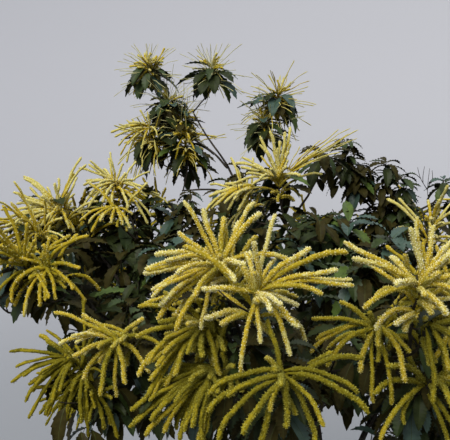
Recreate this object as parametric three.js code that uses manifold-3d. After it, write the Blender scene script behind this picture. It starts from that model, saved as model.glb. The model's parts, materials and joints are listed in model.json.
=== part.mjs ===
// A young sweet chestnut in flower: a short leaning trunk, rising boughs, and a broad crown whose
// shoots each end in a rosette of long leaves and a starburst of catkins.
// Millimetres, +Z up. The origin is the centre of the flat cut at ground level, and the photograph
// looks along +Y, so bearing 0 is the side it sees and a positive bearing is to its right.
import * as THREE from "three";
import Module from "manifold-3d";

const wasm = await Module();
wasm.setup();

// Trunk.
const TRUNK_HEIGHT = 1450;
const TRUNK_LEAN = [70, 50];
const TRUNK_SWAY = 22;
const TRUNK_FOOT_RADIUS = 84;
const TRUNK_TOP_RADIUS = 60;
const FLARE_RADIUS = 66;
const FLARE_HEIGHT = 170;
const ROOT_RIDGES = 5;
const RIDGE_SHARE = 0.42;
const TRUNK_SIDES = 20;
const TRUNK_LEVELS = [0, 0.03, 0.08, 0.16, 0.3, 0.48, 0.66, 0.84, 1];

// Boughs. The first and last places are where a limb lets others fork from it, as shares of its length.
const BOUGH_SIDES = 6;
const BOUGH_STEPS = 4;
const BOUGH_RADIUS_SHARE = 0.66;
const BOUGH_LARGEST = 44;
const BOUGH_SMALLEST = 13;
const BOUGH_TIP_RADIUS = 9;
const BOUGH_TAPER = 0.8;
const BOUGH_WOBBLE = 0.045;
const TRUNK_FORKS = { first: 0.8, last: 0.97, step: 0.034 };
const BOUGH_FORKS = { first: 0.24, last: 0.88, step: 0.08 };
const LIMB_GAP = 0.3;
const CUT_GAP = 0.42;

// How a bough sets out: along its parent, towards its mass, and upwards.
const LEAD_SHARES = { parent: 0.35, aim: 0.6, rise: 0.42 };

// What makes one fork worse than another, in millimetres of extra way.
const WAY_WEIGHT = 0.45;
const EASY_TURN = 50;
const COST_PER_DEGREE = 9;
const LIMB_SPACING = 26;
const CROWDING_WEIGHT = 60;

// Masses. Each has a foot inside the crown, and its heads lean out of the crown's heart.
const HEART = new THREE.Vector3(0, 0, 2050);
const FOOT_DEPTH = 260;
const FOOT_DEPTH_PER_WIDTH = 0.55;
const AXIS_SHARES = { away: 0.6, out: 0.25, rise: 0.45 };
const HEAD_SCATTER = 90;

// Stems, twigs, leaves and catkins. Leaves and catkins are fewer and larger than on the tree itself.
const STEM_LENGTH = 90;
const STEM_RADIUS = 8.5;
const STEM_SIDES = 5;
const TWIG_RADIUS = 7;
const TWIG_SIDES = 3;
const TWIG_FORKS = [0.3, 0.5, 0.7, 0.86];
const TWIG_TURN_WEIGHT = 0.5;
const TWIG_START_WEIGHT = 0.3;
const SHOOT_LENGTH = 130;
const LEAF_LENGTH = 255;
const LEAF_WIDTH = 108;
const LEAF_RIDGE = 14;
const LEAF_LEAN = { least: 1.55, spread: 0.35 };
const LEAF_START = 62;
const LEAVES_PER_HEAD = 3;
const CATKIN_LENGTH = 255;
const CATKIN_RADIUS = 14;
const CATKIN_LEAN = { least: 0.55, spread: 0.7 };
const CATKIN_START = 8;
const CATKINS_SHOWN = 3;
const CATKINS_IN_RINGS = 2;
const ROOT_STEP = 17;
const ROOT_SUNK = 0.5;
const SPACE_MARGIN = 1.5;
const NEIGHBOUR_REACH = 1500;
const CLEARANCE = 1;

const GOLDEN_TURN = Math.PI * (3 - Math.sqrt(5));
const DOWN = new THREE.Vector3(0, 0, -1);
const UP = new THREE.Vector3(0, 0, 1);

// The masses that the photograph shows, each with its flower heads as [bearing, reach, height].
const SHOWN_MASSES = {
  front: [[-18, 1490, 3580], [-13, 1620, 3550], [-20, 1500, 3390], [-19, 1530, 3270], [-10, 1700, 3360]],
  front_right: [[3, 1540, 3550], [0, 1370, 3380], [5, 1460, 3420], [7, 1420, 3230]],
  left_low: [[-34, 1430, 3270], [-41, 1470, 3160], [-39, 1450, 3060]],
  left_outer: [[-49, 1430, 3440], [-52, 1500, 3470]],
  left_upper: [[-71, 1230, 3560]],
  left_inner: [[-73, 970, 3630], [-62, 680, 3500], [-48, 950, 3430]],
  middle: [[-67, 220, 3620], [-76, 390, 3560], [26, 250, 3450], [-17, 480, 3400], [178, 140, 3720]],
  far_right: [[156, 460, 3620], [135, 560, 3490], [120, 820, 3540]],
  top_left: [[-136, 1300, 4130], [-139, 1190, 3930]],
  top_middle: [[-148, 990, 4120]],
  top_right: [[-170, 820, 3970], [-163, 810, 3820]],
  top_low: [[-130, 1170, 3730], [-138, 1010, 3700]],
};

// The bend of the bare stem under the topmost head.
const BENDS = { top_middle: [-141, 985, 3850] };

// The masses whose boughs fork from the trunk itself. Every other bough may leave any limb before it.
const MAIN = ["left_outer", "front", "outer_2", "top_middle", "outer_4", "outer_6", "middle"];

// The masses round the rest of the crown, in rings whose members share one rule. A ring dips by its last
// value on the far side, where the photograph shows clear air over the crown.
const RINGS = [
  { name: "outer", count: 8, first: 26, step: 35, reach: 1400, height: 3290, heads: 5, spread: 400, dip: 330 },
  { name: "inner", count: 2, first: 18, step: 52, reach: 850, height: 3500, heads: 4, spread: 250, dip: 0 },
  { name: "lower", count: 6, first: 38, step: 44, reach: 1240, height: 2700, heads: 4, spread: 360, dip: 270 },
];

// Repeatable random numbers from 0 to 1.
function seeded(seed) {
  let state = seed >>> 0;
  return () => {
    state = (state + 0x6d2b79f5) >>> 0;
    let t = Math.imul(state ^ (state >>> 15), state | 1);
    t ^= t + Math.imul(t ^ (t >>> 7), t | 61);
    return ((t ^ (t >>> 14)) >>> 0) / 4294967296;
  };
}

function place(bearing, reach, height) {
  const turn = THREE.MathUtils.degToRad(bearing);
  return new THREE.Vector3(reach * Math.sin(turn), -reach * Math.cos(turn), height);
}

// The sum of vectors, each given with its share.
function mix(...terms) {
  const sum = new THREE.Vector3();
  for (const [vector, share] of terms) sum.addScaledVector(vector, share);
  return sum;
}

// Two unit vectors square to a direction and to each other.
function acrossPair(direction) {
  const steep = Math.abs(direction.z) >= 0.9;
  const helper = steep ? new THREE.Vector3(1, 0, 0) : UP;
  const first = new THREE.Vector3().crossVectors(direction, helper).normalize();
  return [first, new THREE.Vector3().crossVectors(direction, first)];
}

// A closed solid from shared vertices and triangles, turned to face out.
function solidOf(vertices, triangles) {
  const vertProperties = new Float32Array(vertices.flatMap((v) => [v.x, v.y, v.z]));
  const solid = (faces) => {
    const triVerts = new Uint32Array(faces.flat());
    return new wasm.Manifold(new wasm.Mesh({ numProp: 3, vertProperties, triVerts }));
  };
  const first = solid(triangles);
  return first.volume() > 0 ? first : solid(triangles.map(([a, b, c]) => [a, c, b]));
}

function largest(pieces) {
  return pieces.reduce((a, b) => (a.volume() > b.volume() ? a : b));
}

// The same points with both ends moved outwards, for a tube that has to hold another with room.
function lengthened(points, extra) {
  const last = points.length - 1;
  const grown = points.map((point) => point.clone());
  grown[0].addScaledVector(points[0].clone().sub(points[1]).normalize(), extra);
  grown[last].addScaledVector(points[last].clone().sub(points[last - 1]).normalize(), extra);
  return grown;
}

// A tapering tube through the given points. radiusAt gives the radius of ring i at a turn round it.
function tubeSolid(points, radiusAt, sides, flatFoot = false) {
  const vertices = [];
  const triangles = [];
  let across;
  points.forEach((point, i) => {
    const before = points[Math.max(i - 1, 0)];
    const after = points[Math.min(i + 1, points.length - 1)];
    const along = flatFoot && i === 0 ? UP.clone() : after.clone().sub(before).normalize();
    across = across ?? acrossPair(along)[0];
    across = across.addScaledVector(along, -across.dot(along)).normalize();
    const other = new THREE.Vector3().crossVectors(along, across);
    for (let k = 0; k < sides; k++) {
      const turn = (2 * Math.PI * k) / sides;
      const radius = radiusAt(i, turn);
      vertices.push(mix([point, 1], [across, radius * Math.cos(turn)], [other, radius * Math.sin(turn)]));
    }
  });
  for (let i = 0; i + 1 < points.length; i++) {
    for (let k = 0; k < sides; k++) {
      const [a, b] = [i * sides + k, i * sides + ((k + 1) % sides)];
      triangles.push([a, b, b + sides], [a, b + sides, a + sides]);
    }
  }
  const last = (points.length - 1) * sides;
  for (let k = 1; k + 1 < sides; k++) {
    triangles.push([0, k + 1, k], [last, last + k, last + k + 1]);
  }
  return solidOf(vertices, triangles);
}

// The trunk's middle line, its radius, and its solid with the root flare.
function trunkPoint(share) {
  const sway = TRUNK_SWAY * Math.sin(2 * Math.PI * share);
  const lean = share * share;
  return new THREE.Vector3(TRUNK_LEAN[0] * lean + sway, TRUNK_LEAN[1] * lean - sway, TRUNK_HEIGHT * share);
}

function trunkRadius(share) {
  return THREE.MathUtils.lerp(TRUNK_FOOT_RADIUS, TRUNK_TOP_RADIUS, share);
}

function trunkSolid(extra) {
  const radiusAt = (i, turn) => {
    const flare = FLARE_RADIUS * Math.exp((-TRUNK_LEVELS[i] * TRUNK_HEIGHT) / FLARE_HEIGHT);
    const ridge = 1 + RIDGE_SHARE * Math.cos(ROOT_RIDGES * turn);
    return trunkRadius(TRUNK_LEVELS[i]) + flare * ridge + extra;
  };
  return tubeSolid(lengthened(TRUNK_LEVELS.map(trunkPoint), extra), radiusAt, TRUNK_SIDES, true);
}

// Flower heads of one mass of a ring: a sunflower pattern laid over the tree's rounded outer face.
function ringHeads(ring, bearing, random) {
  const farShare = Math.max(0, -Math.cos(THREE.MathUtils.degToRad(bearing)));
  const centre = place(bearing, ring.reach, ring.height - ring.dip * farShare);
  const out = centre.clone().sub(HEART).normalize();
  const [side, rise] = acrossPair(out);
  const start = random() * 2 * Math.PI;
  return Array.from({ length: ring.heads }, (_, k) => {
    const radius = ring.spread * Math.sqrt((k + 0.6) / ring.heads);
    const turn = start + k * GOLDEN_TURN;
    const sink = (radius * radius) / (2 * ring.reach) + HEAD_SCATTER * random();
    return mix([centre, 1], [side, radius * Math.cos(turn)], [rise, radius * Math.sin(turn)], [out, -sink]);
  });
}

// A mass knows its heads, its foot, and the way that each head faces.
function massOf(name, index, heads) {
  const centre = mix(...heads.map((head) => [head, 1 / heads.length]));
  const out = centre.clone().sub(HEART).normalize();
  const width = Math.max(...heads.map((head) => head.distanceTo(centre)));
  const depth = FOOT_DEPTH + FOOT_DEPTH_PER_WIDTH * width;
  const foot = name in BENDS ? place(...BENDS[name]) : mix([centre, 1], [out, -depth]);
  const axes = heads.map((head) => {
    const away = head.clone().sub(foot).normalize();
    return mix([away, AXIS_SHARES.away], [out, AXIS_SHARES.out], [UP, AXIS_SHARES.rise]).normalize();
  });
  return { name, index, heads, centre, foot, axes };
}

function allMasses() {
  const shown = Object.entries(SHOWN_MASSES);
  const masses = shown.map(([name, rows], index) => massOf(name, index, rows.map((row) => place(...row))));
  for (const ring of RINGS) {
    for (let k = 0; k < ring.count; k++) {
      const index = masses.length;
      const heads = ringHeads(ring, ring.first + ring.step * k, seeded(700 + 31 * index));
      masses.push(massOf(`${ring.name}_${k + 1}`, index, heads));
    }
  }
  return masses;
}

// A bough is a slightly crooked curve from a point on its parent to the foot of its mass.
function boughPoints(from, heading, to, random) {
  const length = from.distanceTo(to);
  const aim = to.clone().sub(from).normalize();
  const lead = mix([heading, LEAD_SHARES.parent], [aim, LEAD_SHARES.aim], [UP, LEAD_SHARES.rise]).normalize();
  const bend = mix([from, 1], [lead, 0.5 * length]);
  const points = new THREE.QuadraticBezierCurve3(from, bend, to).getPoints(BOUGH_STEPS);
  const [side, other] = acrossPair(aim);
  points.forEach((point, i) => {
    const swell = BOUGH_WOBBLE * length * Math.sin((Math.PI * i) / BOUGH_STEPS) * (i % 2 ? 1 : -0.6);
    point.addScaledVector(side, swell * (random() - 0.3)).addScaledVector(other, swell * (random() - 0.5));
  });
  return points;
}

function along(limb, share) {
  const spot = share * (limb.points.length - 1);
  const i = Math.min(Math.floor(spot), limb.points.length - 2);
  const [a, b] = [limb.points[i], limb.points[i + 1]];
  return {
    point: a.clone().lerp(b, spot - i),
    heading: b.clone().sub(a).normalize(),
    radius: THREE.MathUtils.lerp(limb.radii[i], limb.radii[i + 1], spot - i),
  };
}

function segmentDistance(point, a, b) {
  const span = b.clone().sub(a);
  const share = THREE.MathUtils.clamp(point.clone().sub(a).dot(span) / span.lengthSq(), 0, 1);
  return point.distanceTo(mix([a, 1], [span, share]));
}

// The room between a point and the nearest limb's bark.
function limbRoom(point, limbs) {
  let room = Infinity;
  for (const { points, radii } of limbs) {
    for (let i = 0; i + 1 < points.length; i++) {
      const radius = Math.max(radii[i], radii[i + 1]);
      room = Math.min(room, segmentDistance(point, points[i], points[i + 1]) - radius);
    }
  }
  return room;
}

// What it costs to grow a mass's bough from one place on a parent.
function forkAt(mass, parent, share, limbs) {
  const start = along(parent, share);
  const points = boughPoints(start.point, start.heading, mass.foot, seeded(90 + mass.index));
  const aim = mass.foot.clone().sub(start.point);
  const turn = THREE.MathUtils.radToDeg(aim.angleTo(start.heading));
  const others = limbs.filter((limb) => limb !== parent);
  const room = Math.min(...points.slice(1).map((point) => limbRoom(point, others)));
  const own = Math.min(...points.slice(2).map((point) => limbRoom(point, [parent])));
  const crowding = Math.max(0, LIMB_SPACING - room) + Math.max(0, LIMB_SPACING - own);
  const wayIn = parent.wayIn + share * parent.length;
  const extra = COST_PER_DEGREE * Math.max(0, turn - EASY_TURN) + CROWDING_WEIGHT * crowding;
  return { cost: aim.length() + WAY_WEIGHT * wayIn + extra, parent, start, points, wayIn };
}

// Each bough leaves the limb that gives it a short, smooth and clear way from the trunk.
function growBough(mass, limbs) {
  const parents = MAIN.includes(mass.name) ? limbs.slice(0, 1) : limbs;
  const forks = [];
  for (const parent of parents) {
    const { first, last, step } = parent.forks;
    for (let share = first; share <= last; share += step) forks.push(forkAt(mass, parent, share, limbs));
  }
  const best = forks.reduce((a, b) => (b.cost < a.cost ? b : a));
  const share = best.start.radius * BOUGH_RADIUS_SHARE;
  const thickness = THREE.MathUtils.clamp(share, BOUGH_SMALLEST, BOUGH_LARGEST);
  const radiusAt = (i) => THREE.MathUtils.lerp(thickness, BOUGH_TIP_RADIUS, (i / BOUGH_STEPS) ** BOUGH_TAPER);
  return {
    name: `bough_${mass.name}`,
    points: best.points,
    radii: best.points.map((_, i) => radiusAt(i)),
    forks: BOUGH_FORKS,
    length: best.points[0].distanceTo(mass.foot),
    wayIn: best.wayIn,
  };
}

function limbSolid(limb, extra) {
  if (limb.name === "trunk") return trunkSolid(extra);
  return tubeSolid(lengthened(limb.points, extra), (i) => limb.radii[i] + extra, BOUGH_SIDES);
}

// A bough's solid stops just clear of every limb that was there before it.
function boughSolid(limb, earlier) {
  const whole = limbSolid(limb, 0);
  const cutters = earlier
    .map((other) => limbSolid(other, CUT_GAP))
    .filter((other) => whole.intersect(other).volume() > 0);
  const cut = cutters.length ? whole.subtract(wasm.Manifold.union(cutters)) : whole;
  return largest(cut.decompose());
}

// The best place on the twigs so far for a new one to leave: near, and without turning back.
function twigStart(lines, foot) {
  const forks = lines.flatMap(([from, end]) => TWIG_FORKS.map((share) => ({ from, end, share })));
  const priced = forks.map(({ from, end, share }) => {
    const point = from.clone().lerp(end, share);
    const turn = foot.clone().sub(point).angleTo(end.clone().sub(from));
    const way = point.distanceTo(foot) * (1 + TWIG_TURN_WEIGHT * turn);
    return { point, cost: way + TWIG_START_WEIGHT * point.distanceTo(lines[0][0]) };
  });
  return priced.reduce((a, b) => (b.cost < a.cost ? b : a)).point;
}

// The twigs of a mass: a stem from the bough's tip, then a twig with a shoot at its end for each head.
function twigLines(mass, limb) {
  const tip = limb.points[BOUGH_STEPS];
  const heading = tip.clone().sub(limb.points[BOUGH_STEPS - 1]).normalize();
  const start = mix([tip, 1], [heading, LIMB_GAP]);
  const lines = [[start, mix([start, 1], [heading, STEM_LENGTH])]];
  const nearness = (k) => mass.heads[k].distanceTo(start);
  const order = mass.heads.map((_, k) => k).sort((a, b) => nearness(a) - nearness(b));
  mass.headLines = [];
  for (const k of order) {
    const foot = mix([mass.heads[k], 1], [mass.axes[k], -SHOOT_LENGTH]);
    mass.headLines[k] = lines.length;
    lines.push([twigStart(lines, foot), foot, mass.heads[k]]);
  }
  return lines;
}

// A leaf: a thin blade with a raised midrib that arches over and hangs.
function leafPiece(root, heading, length) {
  const side = new THREE.Vector3().crossVectors(heading, UP).normalize();
  const face = new THREE.Vector3().crossVectors(side, heading);
  const middle = mix([root, 1], [heading, 0.5 * length], [DOWN, 0.04 * length]);
  const tip = mix([root, 1], [heading, 0.93 * length], [DOWN, 0.3 * length]);
  const left = mix([middle, 1], [side, 0.5 * LEAF_WIDTH]);
  const right = mix([middle, 1], [side, -0.5 * LEAF_WIDTH]);
  const ridge = mix([middle, 1], [face, LEAF_RIDGE]);
  const vertices = [root, left, tip, right, ridge];
  const upper = [0, 1, 2, 3].map((k) => [k, (k + 1) % 4, 4]);
  return { vertices, triangles: [...upper, [0, 3, 1], [1, 3, 2]] };
}

// A catkin: a three-sided spindle, pointed at both ends, that bows down towards its tip.
function catkinPiece(root, heading, length) {
  const onward = mix([heading, 1], [DOWN, 0.6]).normalize();
  const shoulder = mix([root, 1], [heading, 0.4 * length]);
  const waist = mix([shoulder, 1], [heading, 0.15 * length], [onward, 0.27 * length]);
  const tip = mix([waist, 1], [onward, 0.18 * length]);
  const [side, other] = acrossPair(heading);
  const ring = (centre, radius) =>
    [0, 1, 2].map((k) => {
      const turn = (2 * Math.PI * k) / 3;
      return mix([centre, 1], [side, radius * Math.cos(turn)], [other, radius * Math.sin(turn)]);
    });
  const vertices = [root, ...ring(shoulder, CATKIN_RADIUS), ...ring(waist, 0.8 * CATKIN_RADIUS), tip];
  const triangles = [0, 1, 2].flatMap((k) => {
    const [a, b] = [1 + k, 1 + ((k + 1) % 3)];
    return [[0, b, a], [a, b, b + 3], [a, b + 3, a + 3], [a + 3, b + 3, 7]];
  });
  return { vertices, triangles };
}

// The rosette at one head. Leaves spread below the tip like a skirt, catkins burst out above them.
function rosette(mass, k) {
  const random = seeded(4000 + 97 * mass.index + k);
  const [axis, head] = [mass.axes[k], mass.heads[k]];
  const [side, other] = acrossPair(axis);
  const start = random() * 2 * Math.PI;
  const heading = (turn, lean) => {
    const [up, out] = [Math.cos(lean), Math.sin(lean)];
    return mix([axis, up], [side, out * Math.cos(turn)], [other, out * Math.sin(turn)]).normalize();
  };
  const rootAt = (way, below) => mix([head, 1], [axis, -below], [way, -ROOT_SUNK]);
  const items = [];
  for (let i = 0; i < LEAVES_PER_HEAD; i++) {
    const turn = start + (2 * Math.PI * i) / LEAVES_PER_HEAD;
    const way = heading(turn, LEAF_LEAN.least + LEAF_LEAN.spread * random());
    const length = LEAF_LENGTH * (0.85 + 0.3 * random());
    items.push(leafPiece(rootAt(way, LEAF_START + ROOT_STEP * i), way, length));
  }
  const catkins = mass.name in SHOWN_MASSES ? CATKINS_SHOWN : CATKINS_IN_RINGS;
  for (let i = 0; i < catkins; i++) {
    const turn = start + 1 + (2 * Math.PI * i) / catkins;
    const way = heading(turn, CATKIN_LEAN.least + CATKIN_LEAN.spread * random());
    const length = CATKIN_LENGTH * (0.8 + 0.35 * random());
    items.push(catkinPiece(rootAt(way, CATKIN_START + ROOT_STEP * i), way, length));
  }
  return items;
}

// The least distance from a point to the stem, twigs and heads of a mass.
function massDistance(point, mass) {
  let least = Infinity;
  for (const line of mass.lines) {
    for (let i = 0; i + 1 < line.length; i++) {
      least = Math.min(least, segmentDistance(point, line[i], line[i + 1]));
    }
  }
  return least;
}

// Whether every corner of a leaf or catkin keeps to its own mass's space.
function keepsToSpace(points, mass, masses) {
  const near = masses.filter(
    (other) => other !== mass && other.centre.distanceTo(mass.centre) < NEIGHBOUR_REACH,
  );
  return points.every((point) => {
    const own = massDistance(point, mass) + SPACE_MARGIN;
    return near.every((other) => massDistance(point, other) > own);
  });
}

function clearOf(solid, others) {
  return others.every((other) => solid.minGap(other, CLEARANCE) >= CLEARANCE);
}

// The solid of a mass: its stem, then each twig and rosette piece that touches nothing else.
function massSolid(mass, masses, obstacles) {
  const solids = [tubeSolid(mass.lines[0], () => STEM_RADIUS, STEM_SIDES)];
  const twigRadius = (i) => TWIG_RADIUS * (1.1 - 0.1 * i);
  mass.headLines.forEach((line, k) => {
    const twig = tubeSolid(mass.lines[line], twigRadius, TWIG_SIDES);
    if (!clearOf(twig, obstacles)) return;
    solids.push(twig);
    for (const { vertices, triangles } of rosette(mass, k)) {
      if (!keepsToSpace(vertices, mass, masses)) continue;
      const piece = solidOf(vertices, triangles);
      if (clearOf(piece, obstacles)) solids.push(piece);
    }
  });
  return largest(wasm.Manifold.union(solids).decompose());
}

function meshOf(solid, name, material) {
  const { vertProperties, triVerts } = solid.getMesh();
  const geometry = new THREE.BufferGeometry();
  geometry.setAttribute("position", new THREE.BufferAttribute(new Float32Array(vertProperties), 3));
  geometry.setIndex(new THREE.BufferAttribute(new Uint32Array(triVerts), 1));
  geometry.computeVertexNormals();
  const mesh = new THREE.Mesh(geometry, material);
  mesh.name = name;
  return mesh;
}

const bark = new THREE.MeshStandardMaterial({ color: 0x4d4238, roughness: 0.9, metalness: 0 });
const foliage = new THREE.MeshStandardMaterial({ color: 0x6f7a2c, roughness: 0.6, metalness: 0 });

const trunk = {
  name: "trunk",
  points: TRUNK_LEVELS.map(trunkPoint),
  radii: TRUNK_LEVELS.map(trunkRadius),
  forks: TRUNK_FORKS,
  length: TRUNK_HEIGHT,
  wayIn: 0,
};

// The boughs from the trunk grow first, then the furthest masses' ones.
const masses = allMasses();
const limbs = [trunk];
const mainFirst = (a, b) => MAIN.includes(b.name) - MAIN.includes(a.name);
const furthestFirst = (a, b) => b.foot.distanceTo(HEART) - a.foot.distanceTo(HEART);
for (const mass of [...masses].sort((a, b) => mainFirst(a, b) || furthestFirst(a, b))) {
  const limb = growBough(mass, limbs);
  mass.lines = twigLines(mass, limb);
  limbs.push(limb);
}

const tree = new THREE.Group();
const solids = limbs.map((limb, i) => (i === 0 ? limbSolid(limb, 0) : boughSolid(limb, limbs.slice(0, i))));
limbs.forEach((limb, i) => tree.add(meshOf(solids[i], limb.name, bark)));
for (const mass of masses) {
  const own = limbs.findIndex((limb) => limb.name === `bough_${mass.name}`);
  const obstacles = solids.filter((_, i) => i !== own);
  const solid = massSolid(mass, masses, obstacles);
  solids.push(solid);
  tree.add(meshOf(solid, `foliage_${mass.name}`, foliage));
}

export default tree;
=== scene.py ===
# %% [markdown]
# # A young sweet chestnut in flower
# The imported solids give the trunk, the boughs and a few large leaves and catkins at each shoot's tip.
# This lesson grows the same tree again by the same rule and carries it on to fine twigs, toothed leaves
# and fluffy catkins. Growing it by rule, and not by hand, keeps hundreds of shoots in keeping with
# the limbs that carry them, and gives the same tree on every run.

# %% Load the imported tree
import json
import math

import bpy
import numpy as np
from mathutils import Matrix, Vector

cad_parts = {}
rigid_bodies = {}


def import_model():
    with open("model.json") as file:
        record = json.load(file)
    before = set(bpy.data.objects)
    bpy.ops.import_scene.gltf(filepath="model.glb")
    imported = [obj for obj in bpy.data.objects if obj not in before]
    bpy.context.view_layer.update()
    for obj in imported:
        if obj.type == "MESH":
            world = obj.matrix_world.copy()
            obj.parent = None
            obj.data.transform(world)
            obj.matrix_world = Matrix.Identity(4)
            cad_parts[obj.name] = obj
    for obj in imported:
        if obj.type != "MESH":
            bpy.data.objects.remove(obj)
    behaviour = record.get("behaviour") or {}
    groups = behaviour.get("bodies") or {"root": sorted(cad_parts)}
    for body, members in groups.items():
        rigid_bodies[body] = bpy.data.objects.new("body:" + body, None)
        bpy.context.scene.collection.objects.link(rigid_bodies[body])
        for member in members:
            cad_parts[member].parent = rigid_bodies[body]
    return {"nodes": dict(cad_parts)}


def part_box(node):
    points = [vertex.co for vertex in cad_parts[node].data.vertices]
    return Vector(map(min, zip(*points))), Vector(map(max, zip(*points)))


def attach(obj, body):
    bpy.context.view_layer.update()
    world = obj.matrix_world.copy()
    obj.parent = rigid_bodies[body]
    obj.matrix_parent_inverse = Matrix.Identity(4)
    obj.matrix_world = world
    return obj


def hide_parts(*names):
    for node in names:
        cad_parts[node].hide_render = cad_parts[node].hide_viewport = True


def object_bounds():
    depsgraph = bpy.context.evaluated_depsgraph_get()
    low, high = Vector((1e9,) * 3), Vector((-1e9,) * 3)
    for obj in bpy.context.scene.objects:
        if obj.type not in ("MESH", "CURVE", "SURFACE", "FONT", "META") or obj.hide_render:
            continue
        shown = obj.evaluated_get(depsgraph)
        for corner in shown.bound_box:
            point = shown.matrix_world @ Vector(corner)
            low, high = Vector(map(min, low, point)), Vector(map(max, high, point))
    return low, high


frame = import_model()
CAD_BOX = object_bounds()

print("solids to dress:", len(frame["nodes"]))
print("box of the solids in metres:", [[round(v, 3) for v in corner] for corner in CAD_BOX])

# %% [markdown]
# ## The rule that the tree grows by
# A real tree's limbs each take the short way to the light. The rule does the same: each bough tries
# many forks on the limbs before it and keeps the one that costs least. The sizes here are those of the
# solids in metres, so the fine tree and the solids share every fork, tip and flower head.

# %% Sizes of the trunk
UP = np.array([0.0, 0.0, 1.0])
TRUNK_HEIGHT = 1.45
TRUNK_LEAN = (0.070, 0.050)
TRUNK_SWAY = 0.022
TRUNK_FOOT_RADIUS = 0.084
TRUNK_TOP_RADIUS = 0.060
FLARE_RADIUS = 0.066
FLARE_HEIGHT = 0.170
ROOT_RIDGES = 5
RIDGE_SHARE = 0.42
TRUNK_LEVELS = (0, 0.03, 0.08, 0.16, 0.3, 0.48, 0.66, 0.84, 1)

# %% Sizes of the boughs
BOUGH_STEPS = 4
BOUGH_RADIUS_SHARE = 0.66
BOUGH_LARGEST = 0.044
BOUGH_SMALLEST = 0.013
BOUGH_TIP_RADIUS = 0.009
BOUGH_TAPER = 0.8
BOUGH_WOBBLE = 0.045
WOBBLE_BACK = 0.6
WOBBLE_SHIFT = 0.3
TRUNK_FORKS = (0.8, 0.97, 0.034)
BOUGH_FORKS = (0.24, 0.88, 0.08)
LIMB_GAP = 0.0003
LEAD_PARENT, LEAD_AIM, LEAD_RISE = 0.35, 0.6, 0.42
WAY_WEIGHT = 0.45
EASY_TURN = 50
COST_PER_DEGREE = 0.009
LIMB_SPACING = 0.026
CROWDING_WEIGHT = 60

# %% Sizes of the masses, which all face away from the heart of the leafy head
HEART = np.array([0.0, 0.0, 2.05])
FOOT_DEPTH = 0.26
FOOT_DEPTH_PER_WIDTH = 0.55
AXIS_AWAY, AXIS_OUT, AXIS_RISE = 0.6, 0.25, 0.45
HEAD_SCATTER = 0.09
FIRST_HEAD_OUT = 0.6
STEM_LENGTH = 0.09
SHOOT_LENGTH = 0.13
TWIG_FORKS = (0.3, 0.5, 0.7, 0.86)
TWIG_TURN_WEIGHT = 0.5
TWIG_START_WEIGHT = 0.3
GOLDEN_TURN = math.pi * (3 - math.sqrt(5))

# %% The masses that the photo shows, with their flower heads as bearing, reach and height
SHOWN_MASSES = {
    "front": [(-18, 1.49, 3.58), (-13, 1.62, 3.55), (-20, 1.5, 3.39), (-19, 1.53, 3.27), (-10, 1.7, 3.36)],
    "front_right": [(3, 1.54, 3.55), (0, 1.37, 3.38), (5, 1.46, 3.42), (7, 1.42, 3.23)],
    "left_low": [(-34, 1.43, 3.27), (-41, 1.47, 3.16), (-39, 1.45, 3.06)],
    "left_outer": [(-49, 1.43, 3.44), (-52, 1.5, 3.47)],
    "left_upper": [(-71, 1.23, 3.56)],
    "left_inner": [(-73, 0.97, 3.63), (-62, 0.68, 3.5), (-48, 0.95, 3.43)],
    "middle": [(-67, 0.22, 3.62), (-76, 0.39, 3.56), (26, 0.25, 3.45), (-17, 0.48, 3.4), (178, 0.14, 3.72)],
    "far_right": [(156, 0.46, 3.62), (135, 0.56, 3.49), (120, 0.82, 3.54)],
    "top_left": [(-136, 1.3, 4.13), (-139, 1.19, 3.93)],
    "top_middle": [(-148, 0.99, 4.12)],
    "top_right": [(-170, 0.82, 3.97), (-163, 0.81, 3.82)],
    "top_low": [(-130, 1.17, 3.73), (-138, 1.01, 3.7)],
}

# %% A mass whose foot is given, and the masses whose boughs leave the trunk itself
PLACED_FEET = {"top_middle": (-141, 0.985, 3.85)}
FROM_TRUNK = ("left_outer", "front", "outer_2", "top_middle", "outer_4", "outer_6", "middle")

# %% Heads that only the fine tree has, on the twigs of a packed mass
EXTRA_HEADS = {
    "front": [(-24, 1.2, 3.38)],
    "front_right": [(10, 1.12, 3.42)],
    "middle": [(-4, 0.226, 3.45)],
    "top_left": [(-140, 1.084, 3.835)],
    "far_right": [(147, 0.49, 3.60), (133, 0.63, 3.38), (129, 0.64, 3.47)],
    "left_upper": [(-65, 1.365, 3.5)],
    "left_inner": [(-66, 1.0, 3.55)],
}

# %% The masses round the rest of the tree. Each ring dips by its last value on the far side
RING_VALUES = ("name", "count", "first", "step", "reach", "height", "heads", "spread", "dip")
RING_ROWS = (
    ("outer", 8, 26, 35, 1.4, 3.29, 5, 0.4, 0.33),
    ("inner", 2, 18, 52, 0.85, 3.5, 4, 0.25, 0.0),
    ("lower", 6, 38, 44, 1.24, 2.7, 4, 0.36, 0.27),
)
RINGS = [dict(zip(RING_VALUES, row)) for row in RING_ROWS]
RING_NAMES = [ring["name"] for ring in RINGS]


# %% Repeatable random numbers, as the solids use them
WORD = 0xFFFFFFFF


def seeded(seed):
    """A function that gives the next number from 0 to 1."""
    state = seed & WORD

    def draw():
        nonlocal state
        state = (state + 0x6D2B79F5) & WORD
        t = ((state ^ (state >> 15)) * (state | 1)) & WORD
        t ^= (t + (((t ^ (t >> 7)) * (t | 61)) & WORD)) & WORD
        return (t ^ (t >> 14)) / 2**32

    return draw


def scatter(random, spread):
    """A random number around nought, from a range that is spread wide."""
    return spread * (random() - 0.5)


# %% Small helpers for shares and directions
NEARLY_UPRIGHT = 0.9


def ranged(share, least, extra):
    """A share from 0 to 1, carried to a range. The pairs of values are its least and its extent."""
    return least + extra * share


def ease(share):
    """A share from 0 to 1 that starts and ends gently."""
    return share * share * (3 - 2 * share)


def turns(sides):
    """Angles evenly spaced round a ring."""
    return 2 * math.pi * np.arange(sides) / sides


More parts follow.
